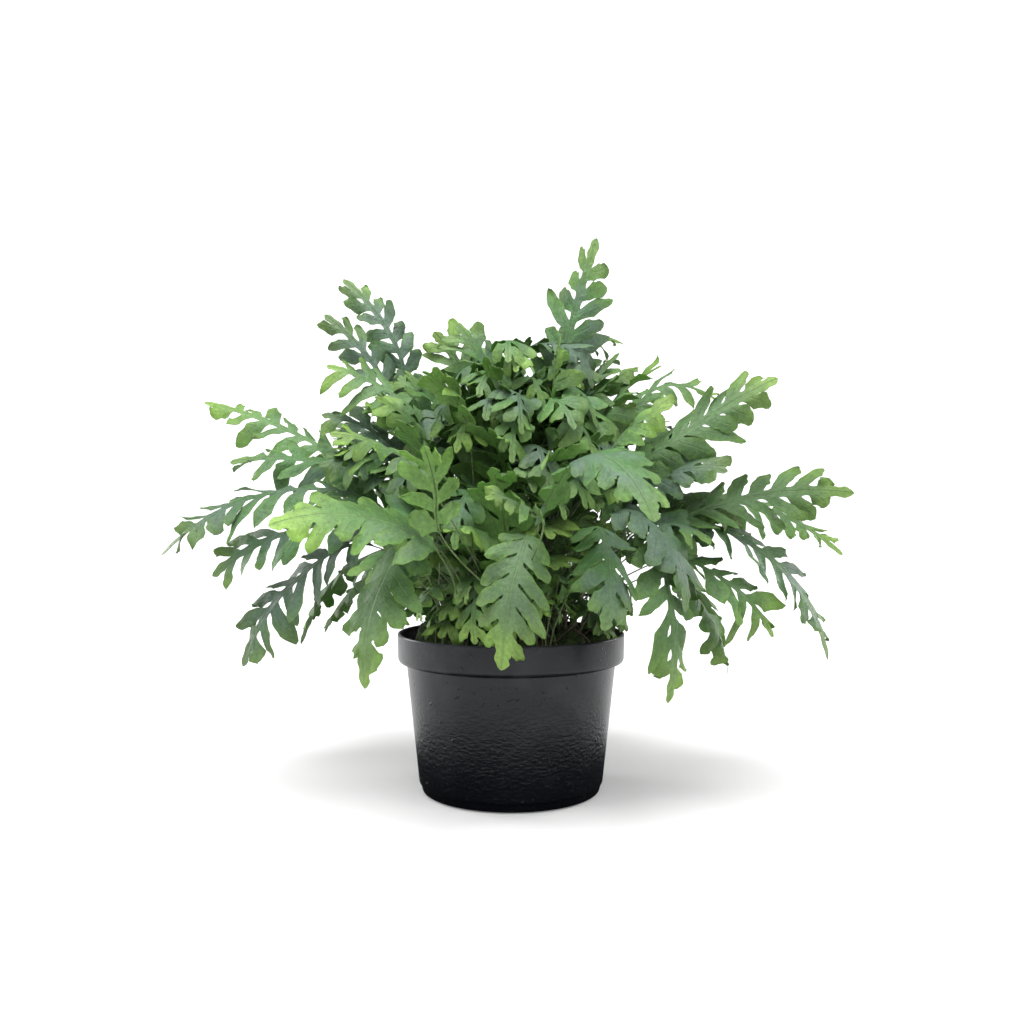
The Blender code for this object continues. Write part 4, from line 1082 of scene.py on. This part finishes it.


# Small fronds between and under the imported ones, each put where, of a few attempts, it crosses the others least

innerRows = [
    # Over the soil at the front
    ((-4, -58, 166), (-6, -96, 134), 8, 0, 13, "frond_young"),
    ((8, -52, 172), (14, -92, 150), 8, 10, 14, "frond_green"),
    ((-16, -40, 158), (-14, -74, 140), 8, 0, 12, "frond_young"),
    ((44, -50, 164), (62, -86, 140), 8, 0, 13, "frond_green"),
    ((-50, -44, 170), (-70, -74, 146), 10, 0, 16, "frond_young"),
    ((-64, -20, 172), (-96, -34, 144), 10, 0, 16, "frond_green"),
    ((70, -30, 176), (100, -46, 150), 10, 0, 16, "frond_green"),
    # Crown and shoulders
    ((44, 20, 276), (84, 30, 368), 10, 30, 24, "frond_blue"),
    ((60, 10, 282), (104, 14, 348), 12, 30, 24, "frond_green"),
    ((64, -20, 262), (116, -22, 330), 14, 30, 24, "frond_blue"),
    ((76, 30, 262), (142, 40, 318), 14, 30, 24, "frond_blue"),
    ((86, -10, 250), (158, -10, 300), 14, 35, 24, "frond_green"),
    ((90, -40, 236), (160, -56, 276), 16, 35, 25, "frond_blue"),
    ((90, -30, 214), (168, -50, 232), 18, 30, 25, "frond_green"),
    ((84, -50, 204), (150, -84, 208), 18, 25, 25, "frond_blue"),
    ((-60, 20, 268), (-110, 26, 340), 12, -30, 24, "frond_blue"),
    ((-66, -10, 262), (-124, -14, 318), 14, -30, 24, "frond_green"),
    ((-80, 24, 256), (-150, 30, 308), 14, -35, 24, "frond_blue"),
    ((-80, -20, 240), (-144, -36, 282), 14, -35, 24, "frond_green"),
    ((-86, 0, 230), (-160, -4, 254), 16, -35, 24, "frond_blue"),
    ((-80, -44, 214), (-140, -78, 226), 18, -30, 25, "frond_green"),
    ((-70, -60, 196), (-112, -106, 190), 18, -20, 24, "frond_blue"),
    ((0, 10, 270), (6, 6, 350), 8, 10, 25, "frond_blue"),
    ((-30, -10, 262), (-48, -30, 338), 10, -20, 25, "frond_blue"),
    ((24, -14, 266), (44, -38, 342), 10, 20, 25, "frond_blue"),
    ((-16, -50, 236), (-36, -90, 300), 12, -20, 24, "frond_blue"),
    ((22, -60, 228), (36, -104, 288), 12, 20, 24, "frond_blue"),
    ((44, -50, 222), (84, -92, 262), 14, 20, 24, "frond_green"),
    ((-44, -56, 216), (-76, -98, 262), 14, -20, 24, "frond_blue"),
    ((4, -60, 196), (8, -112, 232), 12, 0, 24, "frond_blue"),
    ((-24, -60, 186), (-44, -110, 206), 14, 0, 23, "frond_green"),
    ((40, -58, 188), (64, -108, 206), 14, 0, 23, "frond_blue"),
    ((50, 10, 280), (96, 16, 374), 10, 25, 25, "frond_blue"),
    ((58, -30, 268), (122, -40, 346), 12, 30, 25, "frond_green"),
    ((70, 20, 256), (140, 24, 336), 14, 30, 25, "frond_blue"),
    ((84, 0, 244), (170, 4, 308), 14, 35, 25, "frond_green"),
    ((92, -30, 228), (178, -40, 262), 16, 35, 25, "frond_blue"),
    ((96, -50, 214), (174, -80, 212), 18, 30, 25, "frond_green"),
    ((-50, 10, 276), (-90, 16, 356), 10, -25, 25, "frond_blue"),
    ((-58, -30, 258), (-114, -44, 324), 12, -30, 25, "frond_green"),
    ((-74, 10, 248), (-148, 14, 298), 14, -35, 25, "frond_blue"),
    ((-84, -30, 226), (-160, -44, 248), 16, -35, 25, "frond_green"),
    ((-76, -56, 204), (-130, -100, 204), 18, -25, 25, "frond_blue"),
    # Behind the crown, leaning back
    ((-36, 24, 290), (-60, 70, 352), 8, -10, 24, "frond_blue"),
    ((10, 30, 296), (10, 78, 366), 8, 0, 24, "frond_blue"),
    ((50, 30, 290), (74, 76, 350), 8, 15, 24, "frond_green"),
    ((-66, 30, 280), (-104, 70, 330), 8, -25, 24, "frond_blue"),
    ((82, 26, 276), (124, 66, 322), 8, 25, 24, "frond_blue"),
    ((-12, 16, 308), (-20, 44, 372), 6, -10, 22, "frond_blue"),
    ((30, 14, 306), (44, 42, 366), 6, 10, 22, "frond_blue"),
    # Low, behind the stems
    ((-40, 10, 142), (-84, 40, 172), 6, -20, 20, "frond_green"),
    ((-52, -6, 144), (-98, 10, 160), 8, -30, 18, "frond_blue"),
    ((-24, 20, 140), (-50, 62, 178), 6, -10, 20, "frond_green"),
    ((0, 24, 140), (4, 66, 184), 6, 0, 20, "frond_blue"),
    ((26, 20, 140), (54, 60, 180), 6, 10, 20, "frond_green"),
    ((48, 6, 142), (94, 30, 168), 8, 25, 20, "frond_blue"),
    ((60, -10, 146), (104, 6, 156), 8, 30, 18, "frond_green"),
]
innerTiers = [
    (12, -180, 360, (36, 168), (104, 176), 18),
    (12, -170, 360, (32, 198), (108, 226), 18),
    (10, -180, 360, (28, 230), (96, 280), 14),
    (8, -160, 360, (22, 258), (66, 334), 10),
    (12, 10, 160, (32, 152), (98, 164), 14),
    (9, -180, 180, (40, 152), (92, 150), 14),
]
archedTiers = [  # over the front of the crown, so that the faces show
    (8, -172, 164, (10, 326), (72, 318), 22),
    (9, -176, 172, (22, 306), (96, 292), 25),
    (9, -170, 160, (32, 280), (112, 258), 26),
    (7, -165, 150, (40, 246), (118, 214), 26),
]
lowTiers = [  # low behind the stems, so that the soil lies in shade
    (13, 8, 164, (34, 138), (80, 166), 8),
    (11, 14, 152, (26, 150), (70, 196), 10),
    (9, -176, 172, (22, 170), (56, 190), 10),
]
archedColours = ("frond_blue", "frond_green", "frond_blue", "frond_blue", "frond_blue")
innerDraw = np.random.default_rng(31)
innerSpecs = [frondSpec(*row, innerDraw) for row in innerRows]
innerSpecs += tierSpecs(archedTiers, innerDraw, (16, 21), archedColours)
innerSpecs += tierSpecs(innerTiers, innerDraw, (19, 25))
bed.squeeze(innerSpecs, innerDraw, 24, 400)
lowSpecs = tierSpecs(lowTiers, innerDraw, (15, 19), archedColours)
bed.squeeze(lowSpecs, innerDraw, 24, 400)
for number, (frond, colour, _) in enumerate(bed.grown[packedCount:], start=1):
    makeFrond(f"inner_frond_{number:02d}", frond, colour, finishDraw, innerDetail)
print("inner fronds made:", len(bed.grown) - packedCount, "of", len(innerSpecs) + len(lowSpecs))


# Pot

potForm = {
    "sides": 144,
    "cornerReach": 1.1 * mm,
    "drains": 4,
    "drainRadius": 5 * mm,
    "drainRing": 50 * mm,
}
potFinish = {
    "colour": (0.0042, 0.0047, 0.0068, 1),
    # The grey of the specks of dust, and of the painted shade that keeps the lower wall darker than the upper
    "dustAndPaintedShade": (0.052, 0.055, 0.064, 1),
}


def makePotMaterial():
    # Black moulded plastic: fine ripples low down, a few drops and specks of dust, and grey patches that grow towards
    # the top, a painted shade that leaves the lower wall darker
    material, tree, shader, _ = newMaterial("blackPlastic")
    place = addNode(tree, "ShaderNodeTexCoord").outputs["Object"]
    height = addNode(tree, "ShaderNodeSeparateXYZ", {0: place}).outputs["Z"]
    flat = addNode(tree, "ShaderNodeMapping", {"Vector": place, "Scale": (1, 1, 1.9)}).outputs[0]
    ripple = addNoise(tree, flat, 230.0, 2.0, 0.5)
    broad = addNoise(tree, place, 28.0, 3.0)
    grain = addNoise(tree, place, 1600.0, 2.0)
    drops = addRange(tree, addNoise(tree, place, 260.0, 0.0), 0.76, 0.86)
    # Painted shade: grey in broad patches rises from 0.04 low down to 0.22 higher up, so the lower wall is darker;
    # specks of dust go over it
    dustAndPaintedShade = addRange(tree, height, 30 * mm, 90 * mm, 0.04, 0.22)
    dustAndPaintedShade = addMath(tree, "MULTIPLY", addRange(tree, broad, 0.45, 0.8), dustAndPaintedShade)
    specks = addRange(tree, addNoise(tree, place, 620.0, 1.0), 0.76, 0.82)
    dustAndPaintedShade = addMath(tree, "MAXIMUM", dustAndPaintedShade, addMath(tree, "MULTIPLY", specks, 0.5))
    tree.links.new(addMix(tree, dustAndPaintedShade, potFinish["colour"], potFinish["dustAndPaintedShade"]), shader.inputs["Base Color"])
    rough = addMath(tree, "MULTIPLY_ADD", broad, 0.12, addRange(tree, height, 20 * mm, 90 * mm, 0.2, 0.3))
    tree.links.new(rough, shader.inputs["Roughness"])
    depth = addMath(tree, "MULTIPLY", ripple, addRange(tree, height, 40 * mm, 95 * mm, 1.0, 0.25))
    relief = addMath(tree, "MULTIPLY_ADD", grain, 0.06, addMath(tree, "MULTIPLY_ADD", drops, 0.6, depth))
    bump = addNode(tree, "ShaderNodeBump", {"Height": relief, "Strength": 0.65, "Distance": 0.9 * mm})
    tree.links.new(bump.outputs[0], shader.inputs["Normal"])
    shader.inputs["Specular IOR Level"].default_value = 0.23
    return material


def makePot():
    # A rounded profile turned about Z; posts then cut its drain holes
    line = roundedLine(np.array(potProfile) * mm, potForm["cornerReach"])
    piece = makePiece("fine_pot", turnedShape(line, potForm["sides"]), [makePotMaterial()], "pot")
    posts = bmesh.new()
    for i in range(potForm["drains"]):
        angle = 2 * math.pi * (i + 0.5) / potForm["drains"]
        spot = (potForm["drainRing"] * math.cos(angle), potForm["drainRing"] * math.sin(angle), 2 * mm)
        radius = potForm["drainRadius"]
        size = {"segments": 32, "radius1": radius, "radius2": radius, "depth": 12 * mm}
        bmesh.ops.create_cone(posts, cap_ends=True, matrix=Matrix.Translation(spot), **size)
    mesh = bpy.data.meshes.new("drainPosts")
    posts.to_mesh(mesh)
    posts.free()
    cutter = bpy.data.objects.new("drainPosts", mesh)
    bpy.context.scene.collection.objects.link(cutter)
    modifier = piece.modifiers.new("drains", "BOOLEAN")
    modifier.operation = "DIFFERENCE"
    modifier.object = cutter
    cutMesh = bpy.data.meshes.new_from_object(piece.evaluated_get(bpy.context.evaluated_depsgraph_get()))
    piece.modifiers.remove(modifier)
    piece.data = cutMesh
    cutMesh.set_sharp_from_angle(angle=math.radians(50))
    bpy.data.objects.remove(cutter, do_unlink=True)


makePot()
print("pot made")


# Soil, perlite, moss and rhizome

soilForm = {
    "rings": 90,
    "sectors": 260,
    "top": [(1, 119), (70, 119), (91.8, 120.5)],
    "wall": [(91.8, 112.6), (85.5, 110.6), (74.5, 9.4), (68.8, 4)],
    "lumps": [(14 * mm, 1.6 * mm), (5 * mm, 1.6 * mm), (2.2 * mm, 0.9 * mm)],
    "crumbs": 900,
    "crumbSize": (0.7 * mm, 2.4 * mm),
    "perlite": 70,
    "perliteSize": (0.5 * mm, 1.3 * mm),
}


def soilHeight(x, y):  # the soil's surface: a shallow bowl with noise of three sizes
    radius = np.hypot(x, y)
    reach, height = np.array(soilForm["top"]).T * mm
    flat = np.interp(radius, reach, height)
    points = np.stack([x, y, np.zeros_like(x)], axis=-1)
    for number, (cell, size) in enumerate(soilForm["lumps"]):
        flat = flat + size * (latticeNoise(points, cell, number) - 0.5)
    return flat


def makeSoil():
    # Rings of height z(r, a) for the top, then the pot's inner wall down to a flat base, closed at both ends
    sectors = soilForm["sectors"]
    angle = np.linspace(0, 2 * np.pi, sectors, endpoint=False)[None]
    radius = np.linspace(1, 91.8, soilForm["rings"])[:, None] * mm
    x, y = radius * np.cos(angle), radius * np.sin(angle)
    top = np.stack([x, y, soilHeight(x, y)], axis=-1)[::-1]
    wall = np.array(soilForm["wall"])[::-1, :, None] * mm
    low = np.stack(np.broadcast_arrays(wall[:, 0] * np.cos(angle), wall[:, 0] * np.sin(angle), wall[:, 1]), axis=-1)
    points = np.concatenate([low, top])
    rows = len(points)
    first = np.arange(sectors)[None]
    faces = [gridFaces(rows, sectors, wrap=True), first[:, ::-1], first + sectors * (rows - 1)]
    makePiece("fine_soil", (points.reshape(-1, 3), faces, {}), [soilMaterial], "soil", sharp=80)


def scatteredLumps(spots, sizes, draw, sectors=6, rings=4):
    # One small closed lump at each spot, on a grid of longitude and latitude: each point lies size times 0.75 to 1.2
    # out, then the lump is stretched by 0.55 to 1.2 along each axis and turned about Z
    longitude = np.linspace(0, 2 * np.pi, sectors, endpoint=False)[None]
    latitude = np.linspace(-1.2, 1.2, rings)[:, None]
    ring = np.cos(latitude)
    lump = np.broadcast_arrays(ring * np.cos(longitude), ring * np.sin(longitude), np.sin(latitude))
    unitLump = np.stack(lump, axis=-1).reshape(-1, 3)
    count = len(spots)
    stretch = draw.uniform(0.55, 1.2, (count, 1, 3))
    rough = draw.uniform(0.75, 1.2, (count, len(unitLump), 1))
    turn = draw.uniform(0, 2 * np.pi, count)
    cos, sin = np.cos(turn)[:, None], np.sin(turn)[:, None]
    lump = unitLump[None] * rough * stretch * np.asarray(sizes)[:, None, None]
    x = lump[..., 0] * cos - lump[..., 1] * sin
    y = lump[..., 0] * sin + lump[..., 1] * cos
    points = np.stack([x, y, lump[..., 2]], axis=-1) + np.asarray(spots)[:, None]
    base = np.arange(count)[:, None, None] * len(unitLump)
    side = (gridFaces(rings, sectors, wrap=True)[None] + base).reshape(-1, 4)
    first = np.arange(sectors)[None, None]
    bottom = (first[..., ::-1] + base).reshape(-1, sectors)
    top = (first + base + sectors * (rings - 1)).reshape(-1, sectors)
    return points.reshape(-1, 3), [side, bottom, top], {}


def soilSpots(count, draw, reach=88 * mm, centre=(0, 0)):  # spots spread evenly over a circle of the soil
    radius = reach * np.sqrt(draw.uniform(0, 1, count))
    angle = draw.uniform(0, 2 * np.pi, count)
    x, y = centre[0] + radius * np.cos(angle), centre[1] + radius * np.sin(angle)
    return np.stack([x, y, soilHeight(x, y)], axis=1)


makeSoil()
crumbDraw = np.random.default_rng(41)
crumbSizes = crumbDraw.uniform(*soilForm["crumbSize"], soilForm["crumbs"])
crumbs = scatteredLumps(soilSpots(soilForm["crumbs"], crumbDraw), crumbSizes, crumbDraw)
makePiece("soil_crumbs", crumbs, [soilMaterial])
perliteMaterial = makeGrainMaterial("perlite", (0.42, 0.41, 0.37, 1), (0.82, 0.81, 0.76, 1), 400, 1800, 0.8, 0.2 * mm)
perliteSizes = crumbDraw.uniform(*soilForm["perliteSize"], soilForm["perlite"])
perlite = scatteredLumps(soilSpots(soilForm["perlite"], crumbDraw) + [0, 0, 0.8 * mm], perliteSizes, crumbDraw)
makePiece("perlite_grains", perlite, [perliteMaterial])
print("soil made")

mossForm = {
    "mounds": [  # x, y, radius and height in millimetres
        (-22, -38, 21, 26),
        (47, -40, 17, 21),
        (8, -8, 27, 20),
        (-48, -10, 17, 13),
        (40, 14, 20, 14),
        (-10, 34, 24, 14),
        (-62, 4, 22, 28),
        (68, 0, 18, 22),
    ],
    "rows": 34,
    "columns": 72,
    "tufts": 420,
    "tuftSize": (1.6 * mm, 3.4 * mm),
}
mossColours = (0.006, 0.011, 0.004, 1), (0.048, 0.085, 0.016, 1)
mossMaterial = makeGrainMaterial("moss", *mossColours, 140, 1100, 0.95, 1.0 * mm)


def moundHeight(x, y, mound):  # h (1 - (r / R)^2.4), lumpy by noise
    cx, cy, radius, height = [value * mm for value in mound]
    share = np.clip(np.hypot(x - cx, y - cy) / radius, 0, 1)
    points = np.stack([x, y, np.zeros_like(x)], axis=-1)
    lumps = 5 * mm * (latticeNoise(points, 6 * mm, 5) - 0.4) + 1.6 * mm * (latticeNoise(points, 2 * mm, 6) - 0.5)
    return height * (1 - share**2.4) + lumps * (1 - share**4)


def makeMoss():
    # Each mound: rings of z = soil + mound height, closed under the soil; tufts are three-sided spikes
    draw = np.random.default_rng(43)
    angle = np.linspace(0, 2 * np.pi, mossForm["columns"], endpoint=False)[None]
    share = np.linspace(1, 0.02, mossForm["rows"])[:, None]
    first = np.arange(mossForm["columns"])[None]
    shapes, roots = [], []
    for mound in mossForm["mounds"]:
        cx, cy, radius = [value * mm for value in mound[:3]]
        wobble = 1 + 0.12 * np.sin(3 * angle + mound[0]) + 0.08 * np.sin(5 * angle + mound[1])
        x = cx + radius * share * np.cos(angle) * wobble
        y = cy + radius * share * np.sin(angle) * wobble
        z = 117.5 * mm + moundHeight(x, y, mound)
        points = np.stack([x, y, z], axis=-1)
        base = points[:1] - [0, 0, 2 * mm]
        points = np.concatenate([base, points])
        rows = len(points)
        sides = gridFaces(rows, mossForm["columns"], wrap=True)
        faces = [sides, first[:, ::-1], first + mossForm["columns"] * (rows - 1)]
        shapes.append((points.reshape(-1, 3), faces, {}))
        pick = draw.integers(6, rows, mossForm["tufts"]), draw.integers(0, mossForm["columns"], mossForm["tufts"])
        spot = points[pick]
        outward = unit(spot - [cx, cy, 108 * mm])
        roots.append(np.stack([spot, outward], axis=1))
    roots = np.concatenate(roots)
    shapes.append(spikes(roots[:, 0], roots[:, 1], draw.uniform(*mossForm["tuftSize"], len(roots)), 0.35 * mm, draw))
    makePiece("moss_mounds", joined(shapes), [mossMaterial], sharp=80)


def spikes(spots, headings, lengths, radius, draw):
    # A three-sided spike at each spot: a triangle of the radius round its foot and a point at its length
    lean = unit(headings + draw.normal(0, 0.35, headings.shape))
    across = unit(np.cross(lean, [0.31, 0.52, 0.8]))
    other = np.cross(lean, across)
    angle = np.array([0, 2, 4]) * np.pi / 3
    foot = across[:, None] * np.cos(angle)[None, :, None] + other[:, None] * np.sin(angle)[None, :, None]
    foot = spots[:, None] - lean[:, None] * radius + foot * radius
    points = np.concatenate([foot, (spots + lean * np.asarray(lengths)[:, None])[:, None]], axis=1)
    faces = np.array([[0, 1, 3], [1, 2, 3], [2, 0, 3], [2, 1, 0]])
    faces = (faces[None] + 4 * np.arange(len(spots))[:, None, None]).reshape(-1, 3)
    return points.reshape(-1, 3), [faces], {}


makeMoss()
print("moss made")


rhizomeFinish = {"rows": 120, "sides": 20, "lump": 1.1 * mm, "scales": 1500, "scaleLength": (1.4, 3.2)}


def makeRhizome():
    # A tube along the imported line, its radius swollen by sines and noise, with papery scales standing off it
    draw = np.random.default_rng(45)
    line = np.array(rhizomeLine) * mm
    rows, sides, count = rhizomeFinish["rows"], rhizomeFinish["sides"], rhizomeFinish["scales"]
    steps = np.linspace(0, len(line) - 1, rows)
    x, y, radius = [np.interp(steps, range(len(line)), column) for column in line.T]
    kernel = np.hanning(15) / np.hanning(15).sum()
    padded = [np.pad(column, 7, mode="reflect", reflect_type="odd") for column in (x, y, radius)]
    x, y, radius = [np.convolve(column, kernel, mode="valid") for column in padded]
    radius = radius * (1 + 0.08 * np.sin(steps * 9) + 0.05 * np.sin(steps * 23))
    ends = np.sin(np.pi / 2 * np.clip(np.minimum(np.arange(rows), np.arange(rows)[::-1]) / 6 + 0.12, 0, 1))
    radius = radius * ends
    middle = frondForm["soilTop"] + rhizomeForm["sunk"] * radius + frondForm["gap"]
    path = np.stack([x, y, middle], axis=1)
    points, faces, maps = tubeShape(path, radius, sides)
    bumps = latticeNoise(points, 2.4 * mm, 8) - 0.5
    outward = unit(points - np.repeat(path, sides, axis=0))
    points = points + outward * rhizomeFinish["lump"] * bumps[:, None]
    pick = draw.integers(0, len(points), count)
    lengths = draw.uniform(*rhizomeFinish["scaleLength"], count) * mm
    scales = spikes(points[pick], outward[pick] + [0, 0, 0.2], lengths, 0.3 * mm, draw)
    shape = joined([(points, faces, maps), scales])
    makePiece("fine_rhizome", shape, [rhizomeMaterial], "rhizome", sharp=80)


makeRhizome()


# Old stalks

deadForm = {
    "stalks": [  # foot and top in millimetres, bow, radius
        ((38, -50, 118), (66, -30, 158), 5, 0.9),
        ((52, -48, 118), (44, -36, 156), -4, 0.8),
        ((60, -40, 120), (40, -44, 150), 6, 0.9),
        ((44, -34, 120), (74, -44, 148), 4, 0.8),
        ((64, -26, 120), (50, -52, 140), -5, 1.0),
        ((30, -44, 120), (52, -60, 146), 5, 0.7),
        ((-40, -40, 119), (-58, -50, 146), 5, 0.8),
        ((-58, -26, 119), (-40, -48, 142), -5, 0.7),
        ((-66, 10, 119), (-74, -14, 140), 4, 0.8),
        ((20, 40, 119), (44, 52, 150), 5, 0.8),
    ]
}
deadColours = (0.020, 0.015, 0.009, 1), (0.11, 0.078, 0.044, 1)
deadMaterial = makeGrainMaterial("dryStalk", *deadColours, 120, 700, 0.8, 0.3 * mm)


def makeDeadStalks():
    # Old stalks: a bowed tube p = foot + t (top - foot) + bow sin(pi t) to the side, thinner at the broken end
    share = np.linspace(0, 1, 14)[:, None]
    shapes = []
    for foot, top, bow, radius in deadForm["stalks"]:
        foot, top = np.array(foot) * mm, np.array(top) * mm
        aside = unit(np.cross(top - foot, [0, 0, 1.0]))
        path = foot + share * (top - foot) + aside * bow * mm * np.sin(np.pi * share)
        shapes.append(tubeShape(path, radius * mm * (1.1 - 0.4 * share[:, 0]), 7))
    makePiece("dead_stalks", joined(shapes), [deadMaterial])


makeDeadStalks()
print("rhizome and old stalks made")


makeCamera()
makeLamps()


def makeFloor():
    # A floor that bends up into a wall far behind: a straight run, a quarter circle and a straight run
    (front, reach), radius = view["floorReach"], view["bendRadius"]
    angle = np.linspace(0, np.pi / 2, 24)
    y = np.concatenate([[front], reach + radius * np.sin(angle), [reach + radius]])
    z = np.concatenate([[0], radius * (1 - np.cos(angle)), [view["wallTop"]]])
    across = np.array([-0.5, 0.5]) * view["floorWidth"]
    points = np.stack(np.broadcast_arrays(across[None], y[:, None], z[:, None]), axis=-1).reshape(-1, 3)
    mesh = bpy.data.meshes.new("floor")
    mesh.from_pydata(points.tolist(), [], gridFaces(len(y), 2).tolist())
    mesh.shade_smooth()
    material, tree, shader, output = newMaterial("studioFloor")
    shader.inputs["Base Color"].default_value = view["floorColour"]
    shader.inputs["Roughness"].default_value = 0.9
    shader.inputs["Emission Color"].default_value = view["skyColour"]
    place = addNode(tree, "ShaderNodeTexCoord").outputs["Object"]
    depth = addNode(tree, "ShaderNodeSeparateXYZ", {0: place}).outputs["Y"]
    tree.links.new(addRange(tree, depth, *view["glowSpan"], *view["floorGlow"]), shader.inputs["Emission Strength"])
    # The camera sees it white, while near the pot it throws hardly any light back up
    reach = addNode(tree, "ShaderNodeVectorMath", {0: place}, operation="LENGTH").outputs["Value"]
    bounce = addMix(tree, addRange(tree, reach, *view["bounceSpan"]), *view["floorBounce"])
    dim = addNode(tree, "ShaderNodeBsdfDiffuse", {"Color": bounce}).outputs[0]
    seen = addNode(tree, "ShaderNodeLightPath").outputs["Is Camera Ray"]
    mixed = addNode(tree, "ShaderNodeMixShader", {0: seen, 1: dim, 2: shader.outputs[0]})
    tree.links.new(mixed.outputs[0], output.inputs["Surface"])
    mesh.materials.append(material)
    floor = bpy.data.objects.new("floor", mesh)
    bpy.context.scene.collection.objects.link(floor)


makeFloor()

meshes = [piece.data for piece in bpy.data.objects if piece.type == "MESH"]
triangles = [sum(len(face.vertices) - 2 for face in mesh.polygons) for mesh in meshes]
print("triangles in all:", sum(triangles), "and in the largest piece:", max(triangles))
